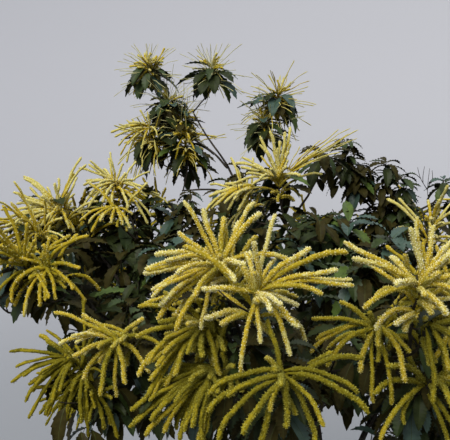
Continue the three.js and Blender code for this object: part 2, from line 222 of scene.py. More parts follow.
def unit(vector):
    return vector / np.linalg.norm(vector)


def place(bearing, reach, height):
    """A point in metres. The bearing is in degrees: 0 is the front, and the right is at 90."""
    turn = math.radians(bearing)
    return np.array([reach * math.sin(turn), -reach * math.cos(turn), height])


def across_pair(direction):
    """Two unit vectors square to a direction and to each other."""
    helper = UP if abs(direction[2]) < NEARLY_UPRIGHT else np.array([1.0, 0.0, 0.0])
    first = unit(np.cross(direction, helper))
    return first, np.cross(direction, first)


def curve(start, bend, end, t):
    """Where the simplest curve is at t: it leaves start toward the bend and comes to end from there."""
    return start * (1 - t) ** 2 + bend * 2 * t * (1 - t) + end * t * t


# %% Where the masses and their heads are
RING_SEED, RING_SEED_STEP = 700, 31


def ring_heads(ring, bearing, random):
    """A sunflower pattern of heads laid over the tree's rounded outer face."""
    far_share = max(0.0, -math.cos(math.radians(bearing)))
    centre = place(bearing, ring["reach"], ring["height"] - ring["dip"] * far_share)
    out = unit(centre - HEART)
    side, rise = across_pair(out)
    start = random() * 2 * math.pi
    heads = []
    for k in range(ring["heads"]):
        radius = ring["spread"] * math.sqrt((k + FIRST_HEAD_OUT) / ring["heads"])
        turn = start + k * GOLDEN_TURN
        sink = radius * radius / (2 * ring["reach"]) + HEAD_SCATTER * random()
        heads.append(centre + side * radius * math.cos(turn) + rise * radius * math.sin(turn) - out * sink)
    return heads


def mass_of(name, index, heads):
    """A mass knows its heads, its foot, and the way that each head faces."""
    centre = sum(heads) / len(heads)
    out = unit(centre - HEART)
    width = max(np.linalg.norm(head - centre) for head in heads)
    foot = centre - out * (FOOT_DEPTH + FOOT_DEPTH_PER_WIDTH * width)
    if name in PLACED_FEET:
        foot = place(*PLACED_FEET[name])
    heads = heads + [place(*row) for row in EXTRA_HEADS.get(name, [])]
    axes = [unit(unit(head - foot) * AXIS_AWAY + out * AXIS_OUT + UP * AXIS_RISE) for head in heads]
    return {"name": name, "index": index, "heads": heads, "foot": foot, "axes": axes}


def all_masses():
    found = []
    for name, rows in SHOWN_MASSES.items():
        found.append(mass_of(name, len(found), [place(*row) for row in rows]))
    for ring in RINGS:
        for k in range(ring["count"]):
            bearing = ring["first"] + ring["step"] * k
            heads = ring_heads(ring, bearing, seeded(RING_SEED + RING_SEED_STEP * len(found)))
            found.append(mass_of(f"{ring['name']}_{k + 1}", len(found), heads))
    return found


masses = all_masses()
print("masses:", len(masses), "flower heads:", sum(len(mass["heads"]) for mass in masses))


# %% The trunk's middle line
def trunk_point(share):
    sway = TRUNK_SWAY * math.sin(2 * math.pi * share)
    lean = share * share
    return np.array([TRUNK_LEAN[0] * lean + sway, TRUNK_LEAN[1] * lean - sway, TRUNK_HEIGHT * share])


def trunk_radius(share):
    return TRUNK_FOOT_RADIUS + (TRUNK_TOP_RADIUS - TRUNK_FOOT_RADIUS) * share


trunk = {
    "name": "trunk",
    "points": np.array([trunk_point(share) for share in TRUNK_LEVELS]),
    "radii": np.array([trunk_radius(share) for share in TRUNK_LEVELS]),
    "forks": TRUNK_FORKS,
    "length": TRUNK_HEIGHT,
    "way_in": 0.0,
}


# %% A bough is a slightly crooked curve from its parent to its mass
def bough_points(start, heading, end, random):
    length = np.linalg.norm(end - start)
    aim = unit(end - start)
    lead = unit(heading * LEAD_PARENT + aim * LEAD_AIM + UP * LEAD_RISE)
    bend = start + lead * 0.5 * length
    side, other = across_pair(aim)
    points = []
    for i in range(BOUGH_STEPS + 1):
        t = i / BOUGH_STEPS
        swell = BOUGH_WOBBLE * length * math.sin(math.pi * t) * (1 if i % 2 else -WOBBLE_BACK)
        point = curve(start, bend, end, t) + side * swell * (random() - WOBBLE_SHIFT)
        points.append(point + other * swell * (random() - 0.5))
    return np.array(points)


def along(limb, share):
    """The point, heading and radius at a share of a limb's length."""
    spot = share * (len(limb["points"]) - 1)
    i = min(int(spot), len(limb["points"]) - 2)
    a, b = limb["points"][i], limb["points"][i + 1]
    radius = limb["radii"][i] + (limb["radii"][i + 1] - limb["radii"][i]) * (spot - i)
    return a + (b - a) * (spot - i), unit(b - a), radius


# %% The room that a new bough has
def segment_distances(points, starts, ends):
    """The distance from every point to every segment, as a table."""
    span = ends - starts
    offset = points[:, None] - starts[None]
    share = np.clip((offset * span).sum(-1) / (span * span).sum(-1), 0, 1)
    return np.linalg.norm(offset - span * share[..., None], axis=-1)


def limb_room(points, limbs):
    if not limbs:
        return math.inf
    starts = np.concatenate([limb["points"][:-1] for limb in limbs])
    ends = np.concatenate([limb["points"][1:] for limb in limbs])
    radii = np.concatenate([np.maximum(limb["radii"][:-1], limb["radii"][1:]) for limb in limbs])
    return (segment_distances(points, starts, ends) - radii).min()


# %% What each possible fork costs, and the bough that grows from the best one
CROOK_SEED = 90


def fork_at(mass, parent, share, limbs):
    start, heading, radius = along(parent, share)
    points = bough_points(start, heading, mass["foot"], seeded(CROOK_SEED + mass["index"]))
    aim = mass["foot"] - start
    turn = math.degrees(math.acos(np.clip(unit(aim) @ heading, -1, 1)))
    room = limb_room(points[1:], [limb for limb in limbs if limb is not parent])
    own = limb_room(points[2:], [parent])
    crowding = max(0, LIMB_SPACING - room) + max(0, LIMB_SPACING - own)
    way_in = parent["way_in"] + share * parent["length"]
    extra = COST_PER_DEGREE * max(0, turn - EASY_TURN) + CROWDING_WEIGHT * crowding
    cost = np.linalg.norm(aim) + WAY_WEIGHT * way_in + extra
    return {"cost": cost, "radius": radius, "points": points, "way_in": way_in, "parent": parent}


def grow_bough(mass, limbs):
    forks = []
    for parent in limbs[:1] if mass["name"] in FROM_TRUNK else limbs:
        share, last, step = parent["forks"]
        while share <= last:
            forks.append(fork_at(mass, parent, share, limbs))
            share += step
    best = min(forks, key=lambda fork: fork["cost"])
    thick = min(max(best["radius"] * BOUGH_RADIUS_SHARE, BOUGH_SMALLEST), BOUGH_LARGEST)
    shares = (np.arange(BOUGH_STEPS + 1) / BOUGH_STEPS) ** BOUGH_TAPER
    return {
        "name": f"bough_{mass['name']}",
        "points": best["points"],
        "radii": thick + (BOUGH_TIP_RADIUS - thick) * shares,
        "forks": BOUGH_FORKS,
        "length": np.linalg.norm(best["points"][0] - mass["foot"]),
        "way_in": best["way_in"],
        "parent": best["parent"],
        "parent_radius": best["radius"],
    }


# %% Twigs: a stem from the bough's tip, and for each head a twig with a shoot at its end
def twig_start(lines, foot):
    """The best place on the twigs so far: near, and without turning back."""
    best = None
    for line in lines:
        for share in TWIG_FORKS:
            point = line[0] + (line[1] - line[0]) * share
            cosine = unit(foot - point) @ unit(line[1] - line[0])
            turn = math.acos(np.clip(cosine, -1, 1))
            cost = np.linalg.norm(point - foot) * (1 + TWIG_TURN_WEIGHT * turn)
            cost += TWIG_START_WEIGHT * np.linalg.norm(point - lines[0][0])
            if best is None or cost < best[0]:
                best = (cost, point)
    return best[1]


def twig_lines(mass, limb):
    tip = limb["points"][-1]
    heading = unit(tip - limb["points"][-2])
    start = tip + heading * LIMB_GAP
    lines = [np.array([start, start + heading * STEM_LENGTH])]
    mass["head_lines"] = {}
    for k in sorted(range(len(mass["heads"])), key=lambda k: np.linalg.norm(mass["heads"][k] - start)):
        foot = mass["heads"][k] - mass["axes"][k] * SHOOT_LENGTH
        mass["head_lines"][k] = len(lines)
        lines.append(np.array([twig_start(lines, foot), foot, mass["heads"][k]]))
    return lines


# %% Grow the limbs, those from the trunk first, then the furthest masses' ones
def tip_miss(mass):
    """How far a bough's tip is outside its solid's box."""
    low, high = map(np.array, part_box(mass["limb"]["name"]))
    return np.linalg.norm(np.clip(mass["foot"], low, high) - mass["foot"])


def growing_order(mass):
    return mass["name"] not in FROM_TRUNK, -np.linalg.norm(mass["foot"] - HEART)


limbs = [trunk]
for mass in sorted(masses, key=growing_order):
    limb = grow_bough(mass, limbs)
    mass["limb"] = limb
    mass["lines"] = twig_lines(mass, limb)
    limbs.append(limb)
print(f"boughs: {len(limbs) - 1}, furthest tip from its solid: {1000 * max(map(tip_miss, masses)):.1f} mm")

# %% [markdown]
# ## Gathering faces
# Thousands of leaves as separate objects would be slow to draw and to hand on. Each kind is gathered in
# a bag of vertices and faces instead, and every bag becomes one mesh. A face remembers its tint, which
# is a material slot, so a spray keeps its own plain colour inside the joined mesh.

# %% A bag of faces. Bark also keeps how high each vertex stands, from furrow to plate
PLATE_MARK = "plate"


class Bag:
    def __init__(self):
        self.verts = []
        self.faces = []
        self.tints = []
        self.plates = []
        self.count = 0

    def add(self, verts, faces, tints):
        """Vertices, their faces, and a tint for each face or one for all."""
        self.verts.append(np.asarray(verts, float).reshape(-1, 3))
        self.count += len(self.verts[-1])
        self.add_faces(faces, tints)

    def add_faces(self, faces, tints):
        """More faces on the vertices that were added last, such as ones with another number of corners."""
        self.faces.append(np.asarray(faces) + self.count - len(self.verts[-1]))
        self.tints.append(np.broadcast_to(tints, len(faces)))

    def triangles(self):
        return sum(len(faces) * (faces.shape[1] - 2) for faces in self.faces)


def mesh_from(bag, name, materials):
    """One smooth-shaded mesh object with the bag's faces."""
    mesh = bpy.data.meshes.new(name)
    verts = np.concatenate(bag.verts)
    corners = np.concatenate([faces.ravel() for faces in bag.faces])
    sizes = np.concatenate([np.full(len(faces), faces.shape[1]) for faces in bag.faces])
    starts = np.concatenate([[0], np.cumsum(sizes)[:-1]])
    mesh.vertices.add(len(verts))
    mesh.vertices.foreach_set("co", verts.astype(np.float32).ravel())
    mesh.loops.add(len(corners))
    mesh.loops.foreach_set("vertex_index", corners.astype(np.int32))
    mesh.polygons.add(len(sizes))
    mesh.polygons.foreach_set("loop_start", starts.astype(np.int32))
    mesh.polygons.foreach_set("material_index", np.concatenate(bag.tints).astype(np.int32))
    for material in materials:
        mesh.materials.append(material)
    mesh.update(calc_edges=True)
    mesh.shade_smooth()
    if bag.plates:
        height = mesh.attributes.new(PLATE_MARK, "FLOAT", "POINT")
        height.data.foreach_set("value", np.concatenate(bag.plates).astype(np.float32))
    made = bpy.data.objects.new(name, mesh)
    bpy.context.scene.collection.objects.link(made)
    return made


def piece_from(bag, name, materials):
    """A mesh object that rides on the tree."""
    piece = mesh_from(bag, name, materials)
    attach(piece, "root")
    print(f"{name}: {bag.triangles()} triangles")
    return piece


# %% Tubes along a path, for wood of every size
def smooth_path(points, per_step):
    """A smooth curve through the points, by the Catmull-Rom rule."""
    padded = np.concatenate([[2 * points[0] - points[1]], points, [2 * points[-1] - points[-2]]])
    t = np.linspace(0, 1, per_step, endpoint=False)[:, None]
    parts = []
    for a, b, c, d in zip(padded, padded[1:], padded[2:], padded[3:]):
        parts.append(
            0.5 * (2 * b + (c - a) * t + (2 * a - 5 * b + 4 * c - d) * t**2 + (3 * b - a - 3 * c + d) * t**3)
        )
    return np.concatenate(parts + [points[-1:]])


def carried_frames(path):
    """Tangents and two unit vectors across them, carried along the path without twisting."""
    tangent = np.gradient(path, axis=0)
    tangent /= np.linalg.norm(tangent, axis=1, keepdims=True)
    across = np.empty_like(path)
    across[0] = across_pair(tangent[0])[0]
    for i in range(1, len(path)):
        across[i] = unit(across[i - 1] - tangent[i] * (across[i - 1] @ tangent[i]))
    return across, np.cross(tangent, across)


def ring_quads(rings, sides):
    """The faces between rings of vertices that follow one another."""
    first = np.arange(rings - 1)[:, None] * sides
    here, beside = first + np.arange(sides), first + (np.arange(sides) + 1) % sides
    return np.stack([here, beside, beside + sides, here + sides], -1).reshape(-1, 4)


def repeated(faces, copies, step):
    """The faces of many copies of one small mesh, whose vertices are step apart."""
    return (faces[None] + (np.arange(copies) * step)[:, None, None]).reshape(-1, faces.shape[1])


def add_tube(bag, path, radii, sides):
    """radii holds one radius for each ring, or a row of them with one for each side."""
    across, other = carried_frames(path)
    turn = turns(sides)[:, None]
    radii = np.broadcast_to(np.asarray(radii).reshape(len(path), -1), (len(path), sides))
    spoke = across[:, None] * np.cos(turn) + other[:, None] * np.sin(turn)
    rings = path[:, None] + spoke * radii[..., None]
    verts = np.concatenate([rings.reshape(-1, 3), path[:1], path[-1:]])
    bag.add(verts, ring_quads(len(path), sides), 0)
    last = (len(path) - 1) * sides
    k = np.arange(sides)
    foot = np.stack([np.full(sides, len(verts) - 2), (k + 1) % sides, k], -1)
    tip = np.stack([np.full(sides, len(verts) - 1), last + k, last + (k + 1) % sides], -1)
    bag.add_faces(np.concatenate([foot, tip]), 0)


# %% [markdown]
# ## Bark
# The bark of a young chestnut is grey-brown, with long shallow furrows that wind a little round
# the trunk and fade on the smooth boughs. The furrows could be bump in the shader alone, but
# then the trunk's edge would stay smooth against the light. Here they are in the mesh: a noise that
# is stretched along the limb and closes on itself round it pushes each ring in and out.

# %% Furrow noise that closes on itself round a limb
FURROW_SHARPNESS = 3.6
PLATE_ROUNDNESS = 0.7
FURROW_WIND = 0.35
FINE_RISE = 0.4
FINE_SHARE = 0.25


def round_noise(turn, height, cells, rise, seed):
    """Smooth noise from 0 to 1. cells is how many bumps go round, rise how tall each one is."""
    rows = int(np.ptp(height) / rise) + 3
    grid = np.random.default_rng(seed).random((rows, cells))
    x = (turn / (2 * math.pi) * cells) % cells
    y = (height - height.min()) / rise
    i, j = np.floor(x).astype(int), np.floor(y).astype(int)
    fx, fy = ease(x - i), ease(y - j)
    i, i2 = i % cells, (i + 1) % cells
    low = grid[j, i] * (1 - fx) + grid[j, i2] * fx
    high = grid[j + 1, i] * (1 - fx) + grid[j + 1, i2] * fx
    return low * (1 - fy) + high * fy


def furrows(turn, height, cells, rise, seed):
    """Sharp-bottomed furrows between broad plates, from 0 in a furrow to 1 on a plate."""
    wound = turn + FURROW_WIND * height
    broad = round_noise(wound, height, cells, rise, seed)
    fine = round_noise(wound, height, 2 * cells + 1, FINE_RISE * rise, seed + 1)
    valley = np.clip(FURROW_SHARPNESS * np.abs(2 * broad - 1), 0, 1) ** PLATE_ROUNDNESS
    return valley * (1 - FINE_SHARE + FINE_SHARE * fine)


# %% The trunk, with its root flare and a rounded top between the boughs
TRUNK_RINGS = 200
TRUNK_SIDES = 96
TRUNK_FURROW = 0.0080
FINE_FURROW = 0.0022
TOP_ROUNDING = 0.05
TOP_END = 0.02
RIDGE_WANDER = 0.7
RIDGE_VARIES = (0.7, 0.6)
SWELL = 0.006
PLATE_SHARES = (0.7, 0.3)
RIDGE_NOISE = {"cells": 5, "rise": 0.4, "seed": 3}
SWELL_NOISE = {"cells": 4, "rise": 0.22, "seed": 9}
PLATE_NOISE = {"cells": 12, "rise": 0.17, "seed": 5}
FINE_NOISE = {"cells": 31, "rise": 0.05, "seed": 6}

shares = np.linspace(0, 1, TRUNK_RINGS)
trunk_path = np.array([trunk_point(share) for share in shares])
turn = np.broadcast_to(turns(TRUNK_SIDES), (TRUNK_RINGS, TRUNK_SIDES))
height = np.broadcast_to(trunk_path[:, 2:], turn.shape)
ridges = RIDGE_SHARE * np.cos(ROOT_RIDGES * turn + RIDGE_WANDER * np.sin(2 * turn))
ridges *= ranged(round_noise(turn, height, **RIDGE_NOISE), *RIDGE_VARIES)
flare = FLARE_RADIUS * np.exp(-height / FLARE_HEIGHT) * (1 + ridges)
plates = furrows(turn, height, **PLATE_NOISE)
fine_plates = furrows(turn, height, **FINE_NOISE)
relief = TRUNK_FURROW * (plates - 1) + FINE_FURROW * (fine_plates - 1)
swell = SWELL * (round_noise(turn, height, **SWELL_NOISE) - 0.5)
radius = trunk_radius(shares)[:, None] + flare + relief + swell
radius *= np.sqrt(np.clip((TRUNK_HEIGHT - height) / TOP_ROUNDING, TOP_END, 1))
trunk_bag = Bag()
add_tube(trunk_bag, trunk_path, radius, TRUNK_SIDES)
trunk_bag.verts[0][: height.size, 2] = height.ravel()
plate_heights = PLATE_SHARES[0] * plates + PLATE_SHARES[1] * fine_plates
trunk_bag.plates.append(np.append(plate_heights.ravel(), [1, 1]))
print(f"trunk: {2000 * trunk_radius(0.5):.0f} mm across at half height")
print(f"its furrows: {1000 * TRUNK_FURROW:.1f} mm deep")

# %% The boughs, each with a collar where it leaves its parent
BOUGH_RINGS_PER_STEP = 11
BOUGH_SIDES = 14
BOUGH_SLIMMING = 0.28
TOP_SLIMMING = 0.52
TOP_MASSES = ("top_left", "top_middle", "top_right", "top_low")
BOUGH_FURROW = 0.09
BOUGH_NOISE = {"cells": 7, "rise": 0.09}
KNOTS = 0.14
KNOT_NOISE = {"cells": 4, "rise": 0.05}
COLLAR_SWELL = 0.55
COLLAR_FIT = 0.92
COLLAR_LENGTH = 0.7
SUNK_SHARE = 0.74
SUNK_REACH = 1.6
CROOKS = {"bough_top_middle": (0.87, 0.07, (0.045, 0, 0))}
BARK_SEED, BARK_SEED_STEP = 40, 5
KNOT_SEED_SHIFT = 3


def smooth_way(points, per_step):
    """A smooth path and the way along it."""
    path = smooth_path(points, per_step)
    return path, np.concatenate([[0], np.cumsum(np.linalg.norm(np.diff(path, axis=0), axis=1))])


def crook(shares, spot, width, shift):
    """How far the limb is pushed aside near a spot, such as where an old leader was lost."""
    return np.exp(-(((shares - spot) / width) ** 2))[:, None] * np.array(shift)


def slimness(limb, shares):
    """How much slimmer than its solid a bough is along its way, slimmest at the tip."""
    at_top = limb["name"].removeprefix("bough_") in TOP_MASSES
    return 1 - (TOP_SLIMMING if at_top else BOUGH_SLIMMING) * np.sqrt(shares)


def at_the_fork(limb):
    """How far a limb's fork moves with its parent's crook, and how slim the parent is there."""
    parent = limb["parent"]
    if parent is trunk:
        return np.zeros(3), 1.0
    path, way = smooth_way(parent["points"], BOUGH_RINGS_PER_STEP)
    share = (way / way[-1])[[np.argmin(np.linalg.norm(path - limb["points"][0], axis=1))]]
    shift = crook(share, *CROOKS[parent["name"]])[0] if parent["name"] in CROOKS else np.zeros(3)
    return shift, slimness(parent, share)[0]


def bough_bag(limb, seed):
    path, way = smooth_way(limb["points"], BOUGH_RINGS_PER_STEP)
    share = way / way[-1]
    if limb["name"] in CROOKS:
        path += crook(share, *CROOKS[limb["name"]])
    shift, slim = at_the_fork(limb)
    path += shift * ((1 - share) ** 2)[:, None]
    radius = np.interp(np.linspace(0, BOUGH_STEPS, len(path)), range(BOUGH_STEPS + 1), limb["radii"])
    radius *= np.minimum(slimness(limb, share), slim)
    parent_radius = slim * limb["parent_radius"]
    out = np.maximum(way - parent_radius, 0)
    most = min(COLLAR_SWELL, COLLAR_FIT * parent_radius / radius[0] - 1)
    collar = 1 + most * np.exp(-out / (COLLAR_LENGTH * parent_radius))
    sunk = np.clip(way / (SUNK_REACH * parent_radius), 0, 1)
    collar *= SUNK_SHARE + (1 - SUNK_SHARE) * ease(sunk)
    turn = np.broadcast_to(turns(BOUGH_SIDES), (len(path), BOUGH_SIDES))
    height = np.broadcast_to(way[:, None], turn.shape)
    plates = furrows(turn, height, seed=seed, **BOUGH_NOISE)
    knots = KNOTS * (round_noise(turn, height, seed=seed + KNOT_SEED_SHIFT, **KNOT_NOISE) - 0.5)
    bag = Bag()
    add_tube(bag, path, (radius * collar)[:, None] * (1 + BOUGH_FURROW * (plates - 1) + knots), BOUGH_SIDES)
    bag.plates.append(np.append(plates.ravel(), [1, 1]))
    return bag


bough_bags = {}
for i, limb in enumerate(limbs[1:]):
    bough_bags[limb["name"]] = bough_bag(limb, BARK_SEED + BARK_SEED_STEP * i)
print("bark triangles:", trunk_bag.triangles() + sum(bag.triangles() for bag in bough_bags.values()))

# %% [markdown]
# ## Shoots
# A chestnut flowers at the tips of its shoots: long leaves hang below each tip like a skirt, and the
# catkins burst out above them. Leafy shoots without flowers stand along the twigs and boughs
# and fill the dark between the heads, their leaves painted mostly in shade. Meshes could be placed at once as
# each shoot grows. Here all are lists of roots, headings and lengths first, so that a leaf that would cover a
# flower head is dropped, and one that would reach past the solids' box is shortened, before any mesh is made.

# %% The photo's camera
PHOTO_WIDTH, PHOTO_HEIGHT = 450, 440
CAMERA_PLACE = np.array([-0.45, -3.45, 4.15])
CAMERA_DIP = math.radians(12.1)
CAMERA_UP = np.array([0.0, math.sin(CAMERA_DIP), math.cos(CAMERA_DIP)])
TO_CAMERA = np.array([0.0, -math.cos(CAMERA_DIP), math.sin(CAMERA_DIP)])
FOCAL_PIXELS = 736
LEAST_DEPTH = 1e-6
CENTIMETRE = 0.01

# %% Where the photo shows clear air between the shoots, as left, top, right and bottom pixels
CLEAR_PLACES = (
    (-400, 304, 30, 900),
    (30, 304, 62, 334),
    (0, 395, 48, 900),
    (318, 396, 368, 440),
    (158, 164, 184, 190),
    (300, 186, 343, 206),
    (414, 150, 430, 204),
    (196, 94, 236, 126),
    (209, 126, 244, 156),
)


def in_view(right, up, toward):
    """A way in the world, from centimetres as the camera sees them."""
    return CENTIMETRE * (np.array([right, 0, 0]) + CAMERA_UP * up + TO_CAMERA * toward)


def photo_pixel(point):
    """Where a point falls in the photo, as column and row."""
    x, y, z = point - CAMERA_PLACE
    depth = max(y * math.cos(CAMERA_DIP) - z * math.sin(CAMERA_DIP), LEAST_DEPTH)
    rise = y * math.sin(CAMERA_DIP) + z * math.cos(CAMERA_DIP)
    return PHOTO_WIDTH / 2 + FOCAL_PIXELS * x / depth, PHOTO_HEIGHT / 2 - FOCAL_PIXELS * rise / depth


def in_clear_place(point):
    column, row = photo_pixel(point)
    return any(left < column < right and top < row < bottom for left, top, right, bottom in CLEAR_PLACES)


# %% A spray is what the leaves and catkins of one shoot share: its mass, its detail and its colours
NEAR_DEPTH = 2.55
FRAME_EDGE = 40

leaves = []
catkins = []
twigs_bag = Bag()


def group_of(mass):
    first = mass["name"].split("_")[0]
    return first if first in RING_NAMES else "shown"


def is_near(point):
    column, _ = photo_pixel(point)
    in_frame = -FRAME_EDGE < column < PHOTO_WIDTH + FRAME_EDGE
    return in_frame and np.linalg.norm(point - CAMERA_PLACE) < NEAR_DEPTH


def spray_of(mass, point, tone, light="golden"):
    """tone is the deal of the leaves' tints, painted shade and sheen among them, and light the catkins'
    painted light or shade.
    """
    where = {"mass": mass["name"], "group": group_of(mass), "near": is_near(point)}
    return where | {"tone": tone, "light": light}


def lean_heading(axis, turn, lean):
    side, other = across_pair(axis)
    out = side * math.cos(turn) + other * math.sin(turn)
    return unit(axis * math.cos(lean) + out * math.sin(lean))


# %% A whorl of leaves below a tip
LEAF_LONGEST = 0.200
LEAF_WIDTH_SHARE = 0.36
LEAF_WIDTH_VARIES = (0.85, 0.3)
LEAF_LENGTH_VARIES = (0.8, 0.3)
LONGER_BELOW = (0.62, 0.38)
LEAF_DROOP = (0.9, 0.9)
LEAF_FOLD = (0.12, 0.4)
LEAF_TWIST = 0.9
WHORL_LEAST, WHORL_MOST = 0.7, 1.5
WHORL_SCATTER = 0.35


def add_whorl(tip, axis, count, spray, random, size, spread, droop=1.0, least=WHORL_LEAST, wide=1.0):
    """Leaves in a spiral round the shoot. The lowest are longest and hang most."""
    start = random() * 2 * math.pi
    for i in range(count):
        below = (i + 0.5) / count
        lean = least + (WHORL_MOST - least) * below + scatter(random, WHORL_SCATTER)
        grown = ranged(math.sqrt(below), *LONGER_BELOW)
        length = size * LEAF_LONGEST * grown * ranged(random(), *LEAF_LENGTH_VARIES)
        bend = droop * ranged(random(), *LEAF_DROOP)
        leaves.append(
            {
                "root": tip - axis * spread * below,
                "heading": lean_heading(axis, start + i * GOLDEN_TURN, lean),
                "length": length,
                "width": length * wide * LEAF_WIDTH_SHARE * ranged(random(), *LEAF_WIDTH_VARIES),
                "bend": bend,
                "fold": ranged(random(), *LEAF_FOLD),
                "twist": scatter(random, LEAF_TWIST),
                "luck": random(),
                **spray,
            }
        )


# %% A tall dome of leaves, on a shoot that doesn't flower
DOME_LEVELS = 6
DOME_LEAVES = 11
DOME_SWELL = 0.35
DOME_VARIES = (0.85, 0.3)
DOME_LEAN = 0.55
DOME_SCATTER = 0.055
SCATTER_AT_TIP = 0.3
LEADER_RADIUS = 0.0042
LEADER_RINGS = 4
SHOOT_SIDES = 5


def add_dome(head, dome, spray, random, size):
    """dome is how far the leaves rise above the head and fall below it."""
    rise, fall = dome
    tip = head + UP * rise
    radii = np.linspace(LEADER_RADIUS, 0.5 * LEADER_RADIUS, LEADER_RINGS)
    add_tube(twigs_bag, np.linspace(head, tip, LEADER_RINGS), radii, SHOOT_SIDES)
    for level in range(DOME_LEVELS):
        share = level / (DOME_LEVELS - 1)
        shift = np.array([scatter(random, DOME_SCATTER) for _ in range(3)]) * (SCATTER_AT_TIP + share)
        middle = tip - UP * (rise + fall) * share + shift
        grown = size * (1 - DOME_SWELL + DOME_SWELL * share) * ranged(random(), *DOME_VARIES)
        lean = ranged(share, DOME_LEAN, DOME_LEAN)
        add_whorl(middle, UP, DOME_LEAVES, spray, random, grown, fall / DOME_LEVELS, least=lean)


# %% A burst of catkins at a flowering tip
CATKIN_LONGEST = 0.262
THIN_RADIUS, OPEN_RADIUS = 0.0012, 0.0071
RADIUS_VARIES = (0.85, 0.3)
BURST_DEPTH = 0.10
BURST_LEAN = (0.12, 1.25)
BURST_FILLING = 0.7
BURST_SCATTER = 0.45
BURST_SWAY = 1.1
CLUMP = 2
CLUMP_SCATTER = 0.9
LONGEST_AT = (0.12, 0.7)
LONGER_THERE = (0.66, 0.34)
LENGTH_VARIES = (0.56, 0.48)
ARCH_BELOW = (0.4, 1.2)
ARCH_VARIES = (0.35, 1.2)
BEND_LEAST, BEND_VARIES = 0.08, 0.2
BEHIND_LIMIT = 0.05


def add_catkin(root, heading, length, habit, bend, sway, spray, random):
    radius = ranged(habit["opened"], THIN_RADIUS, OPEN_RADIUS - THIN_RADIUS)
    catkins.append(
        {
            "root": root,
            "heading": heading,
            "length": length,
            "radius": radius * ranged(random(), *RADIUS_VARIES),
            "bend": bend,
            "sway": scatter(random, sway),
            "luck": random(),
            **spray,
        }
    )


def add_burst(tip, axis, count, habit, spray, random, size=1.0):
    """A habit's opened is 1 for fluffy catkins and 0 for thin ones, hang how far they droop, spread how wide.

    The catkins spring from the shoot in small clumps: those at its tip stand up, the next ones arch over
    and the lowest hang.
    """
    start = random() * 2 * math.pi
    for i in range(count):
        below = (i + random()) / count
        clump = start + (i // CLUMP) * GOLDEN_TURN + scatter(random, CLUMP_SCATTER)
        lean = habit["spread"] * ranged(below**BURST_FILLING, *BURST_LEAN) + scatter(random, BURST_SCATTER)
        heading = lean_heading(axis, clump, lean)
        level = math.hypot(heading[0], heading[1])
        length = size * CATKIN_LONGEST * ranged(math.sin(math.pi * ranged(below, *LONGEST_AT)), *LONGER_THERE)
        length *= ranged(random(), *LENGTH_VARIES) * habit["long"]
        arch = ranged(below, *ARCH_BELOW) * ranged(random(), *ARCH_VARIES)
        bend = BEND_LEAST + habit["hang"] * level * arch + BEND_VARIES * random()
        if not (habit["behind"] and heading @ TO_CAMERA > BEHIND_LIMIT):
            root = tip - axis * BURST_DEPTH * below
            add_catkin(root, heading, length, habit, bend, BURST_SWAY, spray, random)


# %% Catkins that reach given points
POSED_JITTER = 2.2
POSED_SWAY = 0.6


def add_posed(start, rows, habit, spray, random):
    """Each catkin arches in the upright plane through its ends."""
    for *way, arch in rows:
        reach = in_view(*way)
        chord = unit(reach)
        lift = unit(UP - chord * chord[2])
        half = arch / 2
        heading = unit(chord * math.cos(half) + lift * math.sin(half))
        length = np.linalg.norm(reach) * half / math.sin(half)
        root = start + in_view(*(scatter(random, POSED_JITTER) for _ in range(3)))
        add_catkin(root, heading, length, habit, arch, POSED_SWAY, spray, random)


# %% A leafy side shoot
SHOOT_RINGS = 5
SHOOT_LEAVES = 9
SHOOT_SIZE = 0.9
SHOOT_LEAN = 0.95
SHOOT_RISE = 0.55
FIRST_PART, LAST_PART = 0.55, 0.5
SHOOT_TAPER = 0.45
LEAFY_PART = 0.6


def side_shoot(start, tangent, turn, length, radius, mass, random):
    """A thin twig that leaves its parent, rises a little and ends in a whorl of leaves."""
    lead = lean_heading(tangent, turn, SHOOT_LEAN)
    middle = start + lead * FIRST_PART * length
    tip = middle + unit(lead + UP * SHOOT_RISE) * LAST_PART * length
    if in_clear_place(tip):
        return
    t = np.linspace(0, 1, SHOOT_RINGS)[:, None]
    add_tube(twigs_bag, curve(start, middle, tip, t), radius * (1 - SHOOT_TAPER * t[:, 0]), SHOOT_SIDES)
    # Shoots inside the crown are painted mostly in shade.
    spray = spray_of(mass, tip, "inside")
    add_whorl(tip, unit(tip - middle), SHOOT_LEAVES, spray, random, SHOOT_SIZE, LEAFY_PART * length)


# %% Grow the twigs, and leafy shoots along them
TWIG_SEED = 20000
STEM_RADII = (0.0070, 0.0064)
STEM_SUNK = 0.02
STEM_RINGS = 5
TWIG_RADII = (0.0062, 0.0042)
TWIG_SIDES = 7
TWIG_RINGS_PER_STEP = 5
TWIG_ZIGZAG = 0.004
TOP_TWIG_SHARE = 0.7
TOP_SHOOT_SHARE = 0.5
TWIG_SHOOT_RADIUS = 0.0036
TWIG_SHOOT_LENGTH = (0.07, 0.10)
SHOOTS_PER_TWIG = 3
TWIG_SHOOTS = {
    "top_middle": 0,
    "top_right": 0,
    "far_right": 1,
    "front_right": 1,
    "top_left": 2,
    "top_low": 2,
    "front": 2,
}


def stem_end(mass):
    """The stem ends where its last twig leaves it."""
    stem = mass["lines"][0]
    way = unit(stem[1] - stem[0])
    on_stem = []
    for line in mass["lines"][1:]:
        reach = (line[0] - stem[0]) @ way
        if np.linalg.norm(stem[0] + way * reach - line[0]) < LIMB_GAP:
            on_stem.append(reach)
    return stem[0] + way * (max(on_stem) + TWIG_RADII[0])


